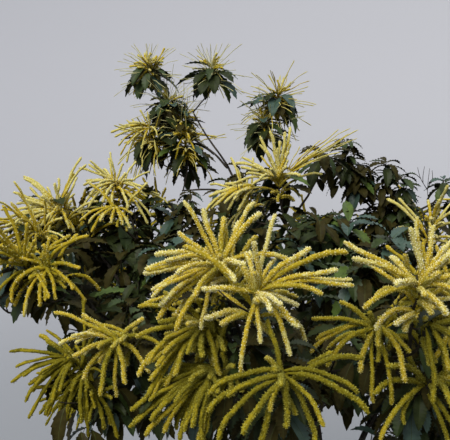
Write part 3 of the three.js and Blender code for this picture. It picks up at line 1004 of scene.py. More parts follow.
def grow_twigs(mass, random):
    at_top = mass["name"] in TOP_MASSES
    thin = TOP_TWIG_SHARE if at_top else 1
    stem = mass["lines"][0]
    sunk = stem[0] - unit(stem[1] - stem[0]) * STEM_SUNK
    stem_path = np.linspace(sunk, stem_end(mass), STEM_RINGS)
    add_tube(twigs_bag, stem_path, thin * np.linspace(*STEM_RADII, STEM_RINGS), TWIG_SIDES)
    shoots = TWIG_SHOOTS.get(mass["name"], SHOOTS_PER_TWIG)
    for k in range(len(mass["heads"])):
        line = mass["lines"][mass["head_lines"][k]]
        path = smooth_path(line, TWIG_RINGS_PER_STEP)
        path[1:-1:2] += across_pair(unit(line[2] - line[0]))[0] * TWIG_ZIGZAG
        add_tube(twigs_bag, path, thin * np.linspace(*TWIG_RADII, len(path)), TWIG_SIDES)
        for j in range(shoots):
            spot = 1 + int((len(path) - 3) * (j + random()) / shoots)
            tangent = unit(path[spot + 1] - path[spot])
            length = ranged(random(), *TWIG_SHOOT_LENGTH) * (TOP_SHOOT_SHARE if at_top else 1)
            turn = random() * 2 * math.pi
            side_shoot(path[spot], tangent, turn, length, TWIG_SHOOT_RADIUS, mass, random)


# %% A few bare twiglets beside one head, as offsets in centimetres from the middle of its twig
BARE_HEAD = ("far_right", 2)
BARE_RADII = (0.0022, 0.0012)
BARE_RINGS_PER_STEP = 4
BARE_TWIGS = (
    ((-2.0, -1.0), (-3.2, 6.4), (-2.1, 18.0)),
    ((-3.2, 6.4), (-6.9, 12.7), (-8.5, 18.5)),
    ((-5.6, 10.4), (-5.6, 14.0), (-4.8, 19.0)),
    ((-3.0, 8.0), (-0.6, 12.5), (-0.8, 17.0)),
    ((-6.9, 12.7), (-9.0, 14.5), (-11.0, 15.0)),
)


def grow_bare_twigs():
    name, k = BARE_HEAD
    mass = next(mass for mass in masses if mass["name"] == name)
    middle = mass["lines"][mass["head_lines"][k]][1]
    for twig in BARE_TWIGS:
        points = np.array([middle + in_view(right, up, 0) for right, up in twig])
        path = smooth_path(points, BARE_RINGS_PER_STEP)
        add_tube(twigs_bag, path, np.linspace(*BARE_RADII, len(path)), SHOOT_SIDES)


grow_bare_twigs()
for mass in masses:
    grow_twigs(mass, seeded(TWIG_SEED + mass["index"]))
print("leaves on side shoots of the twigs:", len(leaves))

# %% [markdown]
# ## Flower heads
# No two flower heads of a real tree are alike. Those in the light stand like a brush and their catkins are
# painted cream, those lower down hang like a mop and are painted in golden to olive shade, and the furthest
# up have only begun to open. Each
# head therefore has a habit: how many catkins it has, how far they have opened, how much they hang, the
# painted light or shade of its catkins, and the leaves below them. Heads without a row here take their mass's
# usual habit.

# %% The usual habits
USUAL = {
    "catkins": 26,
    "opened": 0.95,
    "hang": 1.0,
    "spread": 1.0,
    "long": 1.0,
    "aim": (0, 0, 0),
    "light": "golden",
    "leaves": 11,
    "size": 0.88,
    "tone": "skirt",
    "deep": 0.14,
    "dome": None,
    "behind": False,
}
AT_THE_TOP = {
    "catkins": 54,
    "opened": 0.06,
    "hang": 0.3,
    "spread": 1.25,
    "light": "budding",
    "leaves": 20,
    "size": 1.08,
    "tone": "top",
    "tuft": 20,
}

# %% The habits of single heads, by mass
def behind(**habit):
    """A head whose catkins toward the camera are placed one by one, so the rule grows only the others."""
    return {"behind": True} | habit


def leafy(**habit):
    """A head that doesn't flower."""
    return {"catkins": 0, "leaves": 18, "tone": "skirt"} | habit


# A head's light is the painted light or shade of its catkins, and its tone how much painted shade and sheen
# its leaves take
HABITS = {
    "front": {
        0: behind(catkins=30, light="sunny", aim=(-0.3, 0, 0.4), leaves=9),
        1: behind(catkins=28, light="sunny", aim=(0.2, 0, 0.4), leaves=8),
        2: behind(catkins=44, hang=1.15, light="dull", aim=(-0.6, 0, -0.1), leaves=8, size=0.7),
        3: behind(catkins=42, hang=1.3, light="olive", aim=(-0.5, 0, -0.2), leaves=8, size=0.7),
        4: behind(catkins=16, hang=1.5, light="olive", aim=(0, 0, 0.4), leaves=8),
        5: {"catkins": 22},
    },
    "front_right": {
        0: behind(catkins=30, light="sunny", aim=(0, 0, 0.4), leaves=6, size=0.7),
        1: behind(catkins=18, hang=1.5, light="dull", leaves=5, tone="painted_shade"),
        2: behind(catkins=14, hang=1.5, light="olive", leaves=5, tone="painted_shade"),
        3: {"catkins": 12, "hang": 1.4, "light": "olive", "tone": "painted_shade"},
        4: {"catkins": 12},
    },
    "left_low": {
        0: behind(catkins=34, hang=1.2, size=0.7, aim=(-0.3, 0, -0.6)),
        1: behind(catkins=30, opened=0.74, hang=1.4, light="olive", size=0.6),
        2: behind(catkins=34, opened=0.74, hang=1.5, light="olive", size=0.6),
    },
    "left_outer": {
        0: behind(catkins=24, hang=1.35),
        1: {"catkins": 26, "hang": 1.2},
    },
    "left_upper": {
        0: behind(catkins=40, opened=0.66, light="pale", aim=(-0.3, 0, 0.2)),
        1: {"catkins": 44, "opened": 0.62, "hang": 1.3, "light": "sunny", "aim": (-0.3, 0, -0.1)},
    },
    "left_inner": {
        0: behind(catkins=36, opened=0.66, light="pale", aim=(0.1, 0, 0.2)),
        1: leafy(leaves=8, size=0.62, tone="painted_shade", dome=(0.1, 0.08)),
        2: leafy(tone="painted_sheen"),
        3: behind(catkins=12, opened=0.72, light="sunny", leaves=7),
    },
    "middle": {
        0: behind(catkins=30, opened=0.78, light="pale", aim=(0, 0, 0.4)),
        1: behind(catkins=24, opened=0.78, light="pale", aim=(-0.8, 0, 0.2), leaves=7),
        2: leafy(size=1.0, tone="fresh"),
        3: leafy(tone="painted_sheen"),
        4: leafy(leaves=6, size=0.6, tone="painted_shade"),
        5: leafy(size=1.0, tone="painted_sheen"),
    },
    "far_right": {
        0: leafy(leaves=0, size=0.84, tone="painted_shade", dome=(0.12, 0.15)),
        1: leafy(leaves=0, size=0.92, tone="painted_shade", dome=(0.15, 0.17)),
        2: leafy(leaves=13, size=0.68, tone="painted_sheen", aim=(-0.7, -0.2, 0.5), deep=0.05),
        3: leafy(leaves=0, size=0.8, tone="painted_shade", dome=(0.02, 0.12)),
        4: leafy(leaves=0, size=0.84, tone="painted_shade", dome=(0.05, 0.12)),
        5: leafy(leaves=0, size=0.84, tone="round", dome=(0.09, 0.12)),
    },
    "top_left": {
        0: {"tuft": 46},
        2: {"leaves": 12, "size": 0.75},
    },
    "top_right": {
        0: {"catkins": 66, "spread": 1.6, "opened": 0.16, "light": "pale", "tuft": 24, "aim": (0.3, 0, 0)},
    },
    "top_low": {
        0: {"opened": 0.36, "catkins": 44, "hang": 0.8, "light": "pale", "aim": (-0.5, 0, 0)},
        1: {"opened": 0.2, "catkins": 34, "hang": 0.9, "light": "pale", "tuft": 36},
    },
    "inner_1": {
        0: leafy(tone="painted_sheen"),
        2: {"catkins": 16, "opened": 0.8, "light": "pale", "spread": 0.7, "long": 0.85},
        3: leafy(tone="fresh"),
    },
    "inner_2": {
        1: {"catkins": 14, "opened": 0.8, "light": "pale", "long": 0.7},
    },
}

# %% Catkins placed one by one, on the heads that the photo shows best. Each row is the way to the tip in
# centimetres, to the right, up and toward the camera, and how far the catkin arches in radians
POSED = (
    {"head": ("front", 0), "catkins": (
        (-10, 20, 0, 0.2), (-6, 17, -3, 0.15), (0, 14, -4, 0.1), (10, 18, -2, 0.5), (12, 16, 0, 0.7),
        (-18, 4, 2, 1.3), (-16, 1, 5, 1.0), (-22, 0, 2, 0.6), (-20, -2, 5, 0.5), (-21, -6, 6, 0.5),
        (-19, -8, 8, 0.5), (-18, -11, 5, 0.6), (-18, -16, 6, 0.5), (3, -4, 19, 0.5), (6, 0, 13, 0.5),
        (22, 0, 3, 1.3), (-14, -18, 4, 0.7), (-4, -19, 3, 0.9), (-8, -8, 12, 0.6), (-11, -2, 10, 0.6),
    )},
    {"head": ("front", 1), "catkins": (
        (-2, 13, 5, 0.2), (4, 21, -4, 0.3), (22, 7, 2, 0.6), (24, 12, 0, 0.9), (14, 12, -3, 0.6),
        (25, 2, -3, 0.5), (25, 1, 0, 0.7), (7, -2, 10, 0.5), (9, -9, 7, 0.6), (8, -17, 3, 0.7),
        (0, -12, 4, 0.5), (-5, -21, 0, 0.5), (0, -1, 21, 0.3), (-14, 1, 3, 0.4), (11, -5, -1, 0.4),
        (16, -1, 5, 0.8),
    )},
    {"head": ("front", 2), "catkins": (
        (-15.5, -7, 6, 0.9), (-17, -10, 3, 0.9), (-12, -3, 4, 0.8), (-16, -14, 5, 0.8),
        (-18, -20, 2, 0.6), (-11, -6, 9, 1.0), (-8, -13, 6, 0.7), (-4, -6, 11, 0.9), (1, -6, 9, 0.8),
        (3, -14, 4, 0.6), (-13, 1, 2, 0.9), (-10, 3, 0, 0.5), (-14, -10, 7, 0.9), (-6, 2, 10, 0.6),
        (-15, -18, 3, 0.6), (-19, -13, 0, 0.8), (-10, -17, 3, 0.6),
    )},
    {"head": ("front", 3), "catkins": (
        (-17, -14, 2, 0.6), (-24, -18, 0, 0.5), (-19, -18, 2, 0.5), (-8.5, -15, 4, 0.5),
        (-6, -14, 5, 0.4), (3, -5, 6, 0.9), (-1.5, -21, 1, 0.6), (-4, -20, 3, 0.5), (-14, -10, 4, 0.7),
        (-23, -12, 0, 0.6), (-12, -18, 3, 0.5), (-9, -20, 0, 0.5), (1, -18, 0, 0.7), (-18, -7, 2, 0.6),
        (-8, -7, 8, 0.8), (-21, -15, 3, 0.6),
    )},
    {"head": ("front", 4), "catkins": (
        (-5, -8, 5, 1.7), (-16, -5, 2, 0.7), (-21, -6, 0, 1.0), (-17, -15, 2, 1.1), (-20, -10, -2, 0.8),
        (-5, -17, 3, 0.9), (0, -13, 4, 0.9), (11, -12, 4, 0.8), (8, -18, 0, 0.8), (20, -6, 0, 1.1),
        (21, -10, 2, 1.0), (-1, 0, 10, 0.9), (-12, -12, 8, 0.9),
    )},
    {"head": ("front_right", 0), "catkins": (
        (-2, 20, 0, 0.1), (-5, 16, 3, 0.25), (2, 18, -2, 0.1), (8, 12, 0, 0.6), (8, 9, 3, 0.6),
        (-8, 9, -4, 0.4), (-20, 11, 0, 0.3), (-19, 8, 2, 0.35), (-15, -5, 6, 1.3), (-10, 1, 12, 0.5),
        (5, -6, 6, 0.9), (11, -2, 4, 0.9), (13, 4, 0, 0.7), (13, 13, -5, 0.5), (-3, 0, 15, 0.5),
    )},
    {"head": ("front_right", 1), "catkins": (
        (-15, -11, 4, 1.5), (-5, -13, 5, 1.3), (-3, -5, 10, 1.1), (5, -17, 5, 2.0), (-1, -22, 0, 1.0),
        (3, -23, 0, 1.1), (-19, 3, -3, 0.7), (-17, -5, -2, 0.8), (-19, -9, -2, 0.9), (7, -6, 8, 1.2),
    )},
    {"head": ("front_right", 2), "catkins": (
        (5, -12, 3, 0.5), (7, -4, 3, 0.7), (5, -18, -1, 0.6), (11, -8, 0, 0.8), (1, -21, 0, 0.8),
        (12, 1, 2, 0.8),
    )},
    {"head": ("left_outer", 0), "catkins": (
        (12, -1, 4, 0.7), (6, -11, 5, 0.9), (15, 10, -2, 1.0), (-1, 8, 3, 0.2), (-11, -5, 3, 1.4),
        (-2, -13, 4, 1.0), (-7, -18, 2, 1.2), (10, -7, 8, 0.8), (-13, 2, 2, 0.8), (2, 10, -2, 0.4),
        (-9, 7, -2, 0.4), (14, -12, 0, 1.2),
    )},
    {"head": ("left_low", 0), "catkins": (
        (-22, 9, 0, 0.4), (-14, 3, 4, 0.6), (-18, -2, 3, 0.7), (-14, -5, 6, 0.7), (-5, -16, 5, 0.8),
        (0, -19, 3, 0.6), (5, -14, 6, 0.8), (15, -4, 0, 1.6), (11, -10, 4, 1.1), (-11, -13, 2, 0.8),
        (-13, 8, -2, 0.4), (7, 6, -3, 0.5),
    )},
    {"head": ("left_low", 1), "catkins": (
        (-22, 4, 0, 0.5), (-20, -2, 2, 0.9), (-21, -8, 0, 0.9), (-15, -8, 3, 0.7), (-13, -11, 4, 0.7),
        (-10, -18, 3, 0.7), (-13, -21, 2, 0.6), (-3, -9, 7, 0.9), (-18, 4, 2, 0.7), (-8, 7, 2, 0.6),
        (-10, -4, 6, 1.0), (-16, -13, 0, 0.8), (-6, -13, 5, 0.7), (-12, 8, -2, 0.5), (-17, -5, 4, 0.8),
    )},
    {"head": ("left_low", 2), "start": (-2.4, 5.8, 0), "catkins": (
        (1, -21, 2, 0.4), (-1, -16, 4, 0.6), (-5, -13, 4, 0.7), (-3, -18, 2, 0.6), (-8, -11, 3, 0.8),
        (3, -5, 6, 1.0), (5, -10, 4, 0.9), (8, -19, 0, 0.7), (10, -18, -2, 0.8), (3, -16, 0, 0.6),
        (-4, -4, 6, 0.9), (-11, -15, 0, 0.7), (12, -22, -3, 0.7), (-8, -18, 0, 0.6),
    )},
    {"head": ("left_upper", 0), "start": (1, -3, 0), "catkins": (
        (10, 23, -3, 0.3), (12, 21, 0, 0.4), (7, 18, -4, 0.2), (2, 14, 0, 0.1), (-2, 13, 2, 0.1),
        (-5, 10, -3, 0.1), (-10, 12, -2, 0.3), (-12, 11, 0, 0.3), (-19, 8, 0, 0.5), (-14, 5, 3, 0.5),
        (-20, 0, 0, 1.0), (-23, -5, 2, 1.1), (-20, -6, 5, 1.2), (-18, -11, 4, 1.3), (-25, -13, 0, 1.2),
        (-14, -7, 8, 1.0), (-9, -17, 5, 1.5), (-5, -7, 10, 1.0), (-3, -15, 5, 1.4), (-14, -15, 6, 1.3),
        (5, -8, 8, 1.2), (-9, 0, 9, 0.7), (4, 9, -5, 0.4), (-6, 6, 5, 0.3), (-19, 3, -3, 0.8),
    )},
    {"head": ("left_inner", 0), "catkins": (
        (-11, 10, 0, 0.2), (-9, 9, -2, 0.2), (-1, 11, -2, 0.1), (3, 9, 0, 0.1), (5, 6, 2, 0.3),
        (-13, 2, 0, 0.7), (-13, -2, 4, 0.9), (-11, -6, 6, 1.1), (-16, -14, 4, 1.1), (-9, -11, 8, 1.1),
        (15, -6, 2, 1.0), (14, -3, 0, 0.7), (12, -17, 5, 1.0), (16, -14, 2, 1.0), (7, -10, 10, 0.9),
        (-3, -9, 10, 0.9), (-6, 4, 3, 0.3), (8, 2, -4, 0.5), (0, -13, 8, 1.2), (-6, -1, 8, 0.7),
    )},
    {"head": ("left_inner", 3), "catkins": (
        (-11, -8, 3, 1.0), (-9, -10, 5, 1.1), (-5, -6, 7, 1.1), (6, -9, 5, 1.2), (3, -8, 6, 1.2),
        (-15, -6, 0, 0.9), (-2, -7, 6, 1.2), (7, -3, 0, 0.9),
    )},
    {"head": ("middle", 0), "catkins": (
        (-3, 22, 2, 0.1), (2, 22, 0, 0.1), (-1, 14, 5, 0.1), (3, 19, -2, 0.2), (7, 24, -2, 0.3),
        (-9, 20, 0, 0.2), (-7, 14, 3, 0.2), (5, 14, 2, 0.2), (-13, 7, 2, 0.4), (-18, 6, 0, 0.5),
        (-21, 7, -2, 0.5), (-17, 10, -4, 0.4), (-15, 3, 5, 0.6), (9, 0, 10, 0.9), (-10, 0, 12, 0.9),
        (-3, 4, 12, 0.4), (3, 6, 8, 0.3), (-14, -3, 5, 0.9), (-22, -1, 0, 0.9),
    )},
    {"head": ("middle", 1), "start": (5.5, 2.8, 0), "catkins": (
        (-22, -13, 0, 0.8), (-19, -10, 2, 0.7), (-16, -10, 5, 0.7), (-15, -2, 0, 0.6), (-16, -5, 3, 0.7),
        (-13, -8, 6, 0.7), (-10, 2, -2, 0.5), (-19, -8, -2, 0.6), (-12, -11, 4, 0.9), (-8, -7, 8, 0.7),
        (-14, 1, -3, 0.5), (-20, -6, 0, 0.6), (-9, -3, 9, 0.5), (-6, -11, 5, 1.0),
    )},
    {"head": ("middle", 0), "start": (5, 3.2, 0), "opened": 0.2, "catkins": (
        (31, 20, 0, 0.15), (28, 17, 2, 0.2), (25, 14, 0, 0.2), (21, 15, 3, 0.2), (18, 11, 3, 0.25),
        (15, 14, 0, 0.2), (17, 7, 5, 0.3), (13, 6, 4, 0.3), (23, 10, 5, 0.3), (10, 12, -2, 0.2),
        (28, 21, -3, 0.15), (6, 12, 0, 0.2), (23, 19, -2, 0.2), (33, 17, 0, 0.2), (29, 13, 3, 0.3),
    )},
    {"head": ("top_left", 0), "start": (2.9, -2.3, 0), "opened": 0.8, "light": "sunny", "catkins": (
        (8, 13, 0, 0.1), (-4, 7, 2, 0.1), (2, 9, 1, 0.1), (5, 6, 3, 0.2), (-8, 5, 2, 0.3),
        (-7, 1, 5, 0.5), (-1, 8, 4, 0.1), (8, 7, 0, 0.2), (2, 4, 7, 0.3), (-14, 2, 0, 0.5),
        (-3, 4, 7, 0.3), (6, 3, 5, 0.5),
    )},
    {"head": ("top_low", 0), "start": (1.7, 5.7, 2), "opened": 0.7, "catkins": (
        (-22, -4, 0, 0.7), (-20, -7, 2, 0.7), (-17, -11, 2, 0.8), (-16, -17, 2, 0.9), (-11, 1, 3, 0.6),
        (-9, 2, 5, 0.6), (-18, 0, 0, 0.9), (-4, -18, 6, 1.0), (6, -6, 7, 1.2), (-13, -21, 2, 1.0),
        (3, -17, 6, 1.0), (-5, 9, 2, 0.3), (-1, 10, 0, 0.2), (-14, -3, 4, 0.7), (-11, -10, 5, 0.8),
    )},
    {"head": ("top_low", 1), "start": (0.6, 4, 3), "opened": 0.75, "light": "sunny", "catkins": (
        (7, -15, 5, 0.9), (-5, 5, 3, 0.4), (2, 5, 3, 0.3), (9, 0, 0, 0.6), (17, -1, 0, 0.3),
        (-6, -1, 5, 0.7), (6, 3, 0, 0.4), (-2, 7, 0, 0.2), (-5, -14, 5, 0.9), (4, 2, 5, 0.5),
        (-3, 3, 5, 0.4), (1, -4, 7, 0.9),
    )},
)

# %% Ring heads take their painted light or shade from their height: the lower, the deeper the painted shade
PAINTED_LIGHT_HEIGHTS = {"sunny": 3.42, "golden": 3.1, "dull": 2.75}


def painted_light_at(height):
    return next((light for light, least in PAINTED_LIGHT_HEIGHTS.items() if height > least), "olive")


def habit_of(mass, k):
    habit = dict(USUAL)
    if mass["name"] in TOP_MASSES:
        habit |= AT_THE_TOP
    elif group_of(mass) != "shown":
        habit |= {"light": painted_light_at(mass["heads"][k][2]), "tone": "round"}
    return habit | HABITS.get(mass["name"], {}).get(k, {})


# %% The whorl below each kind of head
TOP_WHORL = {"spread": 0.07, "droop": 0.95, "least": 1.1, "wide": 1.08}
LEAFY_WHORL = {"droop": 0.9, "least": 0.6, "wide": 1.2}
SKIRT = {"spread": 0.11, "droop": 1.25}
SKIRT_LOWERED = 0.095


def dress_with_leaves(mass, head, axis, habit, spray, random):
    whorl = (axis, habit["leaves"], spray, random, habit["size"])
    if mass["name"] in TOP_MASSES:
        add_whorl(head, *whorl, **TOP_WHORL)
    elif habit["catkins"]:
        add_whorl(head - axis * SKIRT_LOWERED, *whorl, **SKIRT)
    else:
        add_whorl(head, *whorl, habit["deep"], **LEAFY_WHORL)


# %% The tuft of a top head, and the thinner catkins that hang from it
TUFT_HABIT = {"opened": 0.85, "spread": 1.6, "hang": 0.8, "long": 0.42}
TUFT_RAISED = 0.025
HANGING_HABIT = {"opened": 0.36, "spread": 1.5, "hang": 1.9, "long": 0.62}
HANGING_CATKINS = 5


def dress_top_head(head, axis, habit, spray, random):
    raised = head + axis * TUFT_RAISED
    # The tuft is painted in sunlight, and the catkins that hang below it pale.
    add_burst(raised, axis, habit["tuft"], habit | TUFT_HABIT, spray | {"light": "sunny"}, random)
    add_burst(head, axis, HANGING_CATKINS, habit | HANGING_HABIT, spray | {"light": "pale"}, random)


# %% Leaves and catkins for every head
HEAD_SEED, HEAD_SEED_STEP = 4000, 97
# Each painted light and the next one deeper in painted shade
DEEPER_PAINTED_SHADE = {"pale": "sunny", "sunny": "golden", "golden": "dull", "dull": "olive"}
OPENED_GAIN, OPENED_MOST = 1.25, 0.95
BOSS_SHARE = 0.34
BOSS_SIZE = 0.38
BESIDE_SHARE = 0.28
BESIDE_LEAN = 0.7
BESIDE_LOWERED, BESIDE_SHIFT = 0.07, 0.065


def dress_head(mass, k, random):
    habit = habit_of(mass, k)
    head = mass["heads"][k]
    axis = unit(mass["axes"][k] + np.array(habit["aim"]))
    spray = spray_of(mass, head, habit["tone"], habit["light"])
    if habit["dome"]:
        add_dome(head, habit["dome"], spray, random, habit["size"])
    dress_with_leaves(mass, head, axis, habit, spray, random)
    if mass["name"] in TOP_MASSES:
        dress_top_head(head, axis, habit, spray, random)
    posed = [fan for fan in POSED if fan["head"] == (mass["name"], k)]
    for fan in posed:
        opened = fan.get("opened", min(OPENED_GAIN * habit["opened"], OPENED_MOST))
        start = head + in_view(*fan.get("start", (0, 0, 0)))
        shade = spray | {"light": fan.get("light", habit["light"])}
        add_posed(start, fan["catkins"], habit | {"opened": opened}, shade, random)
    beside_count = int(habit["catkins"] * BESIDE_SHARE) if spray["near"] and not posed else 0
    add_burst(head, axis, habit["catkins"] - beside_count, habit, spray, random)
    # The boss in the middle of the head is painted a step deeper in shade.
    boss_count = int(habit["catkins"] * BOSS_SHARE)
    boss_shade = spray | {"light": DEEPER_PAINTED_SHADE.get(habit["light"], habit["light"])}
    add_burst(head, axis, boss_count, habit | {"behind": False}, boss_shade, random, BOSS_SIZE)
    if beside_count:
        beside = lean_heading(axis, random() * 2 * math.pi, BESIDE_LEAN)
        start = head - axis * BESIDE_LOWERED + beside * BESIDE_SHIFT
        add_burst(start, beside, beside_count, habit, spray, random)


for mass in masses:
    for k in range(len(mass["heads"])):
        dress_head(mass, k, seeded(HEAD_SEED + HEAD_SEED_STEP * mass["index"] + k))
print("catkins:", len(catkins))

# %% Leafy shoots along the boughs. The far top boughs are bare but for their lowest part
BOUGH_STEPS_FOR_SHOOTS = 10
BOUGH_SHOOT_RADIUS = 0.004
BOUGH_SHOOT_LENGTH = (0.10, 0.18)
BOUGH_SHOOT_SPACING = 0.06
SPACING_VARIES = (0.7, 0.6)
BOUGH_SHOOTS_FROM = 0.35
BARE_BOUGHS = (*TOP_MASSES, "far_right")
BARE_ABOVE = 3.42
BOUGH_SHOOT_SEED = 30000


def dress_bough(mass, random):
    path, way = smooth_way(mass["limb"]["points"], BOUGH_STEPS_FOR_SHOOTS)
    spot = BOUGH_SHOOTS_FROM * way[-1]
    turn = random() * 2 * math.pi
    while spot < way[-1]:
        i = int(np.searchsorted(way, spot)) - 1
        length = ranged(random(), *BOUGH_SHOOT_LENGTH)
        if mass["name"] not in BARE_BOUGHS or path[i][2] < BARE_ABOVE:
            side_shoot(path[i], unit(path[i + 1] - path[i]), turn, length, BOUGH_SHOOT_RADIUS, mass, random)
        turn += GOLDEN_TURN
        spot += BOUGH_SHOOT_SPACING * ranged(random(), *SPACING_VARIES)


for mass in masses:
    dress_bough(mass, seeded(BOUGH_SHOOT_SEED + mass["index"]))
print("leaves in all:", len(leaves), "twig triangles:", twigs_bag.triangles())

# %% [markdown]
# ## Leaves
# A chestnut leaf is long and pointed, with a straight rib to each tooth along its edge. A flat card
# with a picture of a leaf would be quick, but it would look like paper from the side. Each leaf here
# is a small mesh in its own outline: a midrib, a fold up from it, pleats that follow the side ribs, and
# teeth. One outline is worked out once, then bent, folded and twisted for all leaves at a time.

# %% The outline of one leaf, as shares of its length and half width
STALK_SHARE = 0.09
RIB_SHARE = 0.035
RIB_TAPER = 1.15
WIDEST_SHIFT, LEAF_FULLNESS = 0.92, 0.75
NOTCH_AT, TOOTH_AT = 0.12, 0.95
TOOTH_OUT = 0.3


def half_width(v):
    """The leaf's half width, at most 1, from its base at v = 0 to its point at v = 1."""
    v = min(max(v, 0.0), 1.0)
    return math.sin(math.pi * v**WIDEST_SHIFT) ** LEAF_FULLNESS if v < 1 else 0.0


def edge_point(u, side, reach, raised):
    """A point on the leaf's edge, at reach times the plain outline's half width."""
    return (u, side * reach * half_width((u - STALK_SHARE) / (1 - STALK_SHARE)), raised)


def leaf_outline(teeth, cut):
    """Vertices as (along, across, raised), edge faces and midrib faces. cut is how deep the teeth are."""
    rows = [STALK_SHARE + (1 - STALK_SHARE) * i / teeth for i in range(teeth + 1)]
    verts = []
    for u in rows:
        rib_here = RIB_SHARE * (RIB_TAPER - u)
        verts += [(u, -rib_here, 0.0), (u, rib_here, 0.0)]
    verts += [(0.0, -RIB_SHARE, 0.0), (0.0, RIB_SHARE, 0.0)]
    stalk_at = 2 * (teeth + 1)
    rib = [(stalk_at, stalk_at + 1, 1, 0)]
    rib += [(2 * i, 2 * i + 1, 2 * i + 3, 2 * i + 2) for i in range(teeth)]
    faces = []
    for side, inner in ((-1, 0), (1, 1)):
        first = len(verts)
        for u, u_next in zip(rows, rows[1:]):
            verts.append(edge_point(u + NOTCH_AT * (u_next - u), side, 1 - cut, -1.0))
            verts.append(edge_point(u + TOOTH_AT * (u_next - u), side, 1 + TOOTH_OUT * cut, 1.0))
        for i in range(teeth):
            a, b = 2 * i + inner, 2 * i + 2 + inner
            notch, tooth = first + 2 * i, first + 2 * i + 1
            corners = [(a, notch, tooth), (a, tooth, b)]
            if i + 1 < teeth:
                corners.append((b, tooth, notch + 2))
            faces += corners if side > 0 else [(p, r, q) for p, q, r in corners]
    return np.array(verts), np.array(faces), np.array(rib)


# %% Bend every drooping piece of one kind at once
ARC_STEPS = 16
NEARLY_PLUMB = 0.12
SIDEWAYS = np.array([0.3, 0.2, 0.0])
MOST_OF_THE_ROOM, LEAST_BEND = 0.92, 0.02


def column(rows, key):
    return np.array([row[key] for row in rows])[:, None]


def up_normals(headings):
    """For each heading, the unit vector square to it that points most nearly up."""
    normal = UP - headings * headings[:, 2:]
    normal[np.linalg.norm(normal, axis=1) < NEARLY_PLUMB] += SIDEWAYS
    normal -= headings * (normal * headings).sum(1, keepdims=True)
    return normal / np.linalg.norm(normal, axis=1, keepdims=True)


def arcs(rows, u, early=1.0):
    """Middle points, tangents and normals of drooping pieces, for each row and each share u.

    With early under 1 a piece droops most near its root, as a leaf does on its stalk.
    """
    root = np.array([row["root"] for row in rows])
    heading = np.array([row["heading"] for row in rows])
    normal = up_normals(heading)
    room = np.arccos(np.clip(-heading[:, 2], -1, 1))[:, None]
    bend = np.minimum(column(rows, "bend"), MOST_OF_THE_ROOM * room + LEAST_BEND)
    step = column(rows, "length") / ARC_STEPS
    halfway = bend * ((np.arange(ARC_STEPS) + 0.5) / ARC_STEPS) ** early
    zero = np.zeros((len(rows), 1))
    forward = np.concatenate([zero, np.cumsum(step * np.cos(halfway), 1)], 1)
    sink = np.concatenate([zero, np.cumsum(step * np.sin(halfway), 1)], 1)
    spot = np.broadcast_to(u, (len(rows), u.shape[-1])) * ARC_STEPS
    i = np.clip(spot.astype(int), 0, ARC_STEPS - 1)

    def at(table):
        low, high = np.take_along_axis(table, i, 1), np.take_along_axis(table, i + 1, 1)
        return (low + (high - low) * (spot - i))[..., None]

    middle = root[:, None] + heading[:, None] * at(forward) - normal[:, None] * at(sink)
    angle = (bend * np.broadcast_to(u, spot.shape) ** early)[..., None]
    cos, sin = np.cos(angle), np.sin(angle)
    tangent = heading[:, None] * cos - normal[:, None] * sin
    return middle, tangent, normal[:, None] * cos + heading[:, None] * sin


# %% Keep the tree as big as its solids: what would reach out of their box is made shorter
BOX_MARGIN = 0.03
SHORTEST_SHARE = 0.45
LEAST_SPAN = 1e-6


def trim_to_box(rows, early=1.0):
    tips = arcs(rows, np.array([1.0]), early)[0][:, 0]
    root = np.array([row["root"] for row in rows])
    span = tips - root
    room = np.where(span > 0, np.array(CAD_BOX[1]) - root, root - np.array(CAD_BOX[0])) + BOX_MARGIN
    share = np.clip(room / np.maximum(np.abs(span), LEAST_SPAN), SHORTEST_SHARE, 1).min(1)
    for row, kept in zip(rows, share):
        row["length"] *= kept
    print(f"shortened to stay in the box: {(share < 1).sum()} of {len(rows)}")


# %% Leave clear air where the photo has it, and the best heads uncovered
UNCOVERED_REACH = 0.14
TOP_UNCOVERED_REACH = 0.05
BODY_AT = 0.6
LEAF_EARLY_BEND = 0.55

posed_heads = {fan["head"] for fan in POSED}
uncovered = [
    (head, TOP_UNCOVERED_REACH if mass["name"] in TOP_MASSES else UNCOVERED_REACH)
    for mass in masses
    for k, head in enumerate(mass["heads"])
    if (mass["name"], k) in posed_heads
]


def body_of(row):
    """A point well along a leaf or catkin."""
    return row["root"] + row["heading"] * BODY_AT * row["length"]


def in_sight(row):
    """Whether a leaf or catkin is a near one or keeps out of the photo's clear places."""
    return row["near"] or not (in_clear_place(body_of(row)) or in_clear_place(row["root"]))


def covers_a_head(leaf):
    """Whether a leaf hangs between the camera and one of the best heads."""
    body = body_of(leaf)
    sight = unit(body - CAMERA_PLACE)
    for head, reach in uncovered:
        way = head - CAMERA_PLACE
        apart = np.linalg.norm(way - sight * (way @ sight))
        if apart < reach and (body - head) @ TO_CAMERA > 0:
            return True
    return False


leaves = [leaf for leaf in leaves if in_sight(leaf) and not covers_a_head(leaf)]
catkins = [catkin for catkin in catkins if in_sight(catkin)]
trim_to_box(leaves, LEAF_EARLY_BEND)
trim_to_box(catkins)

# %% Place every leaf of one kind at once
LEAF_PLEAT = 0.0022


def add_leaves(bag, rows, outline, tints, rib_tint):
    """tints holds one tint for each leaf."""
    verts, faces, rib = outline
    u, v, raised = verts.T
    middle, tangent, normal = arcs(rows, u[None], LEAF_EARLY_BEND)
    side = np.cross(tangent, normal)
    twist = (column(rows, "twist") * u)[..., None]
    turned = side * np.cos(twist) + normal * np.sin(twist)
    upright = normal * np.cos(twist) - side * np.sin(twist)
    fold = column(rows, "fold")
    reach = 0.5 * column(rows, "width") * v
    points = middle + turned * (reach * np.cos(fold))[..., None]
    points += upright * (np.abs(reach) * np.sin(fold) + LEAF_PLEAT * raised)[..., None]
    bag.add(points, repeated(faces, len(rows), len(u)), np.repeat(tints, len(faces)))
    bag.add_faces(repeated(rib, len(rows), len(u)), rib_tint)
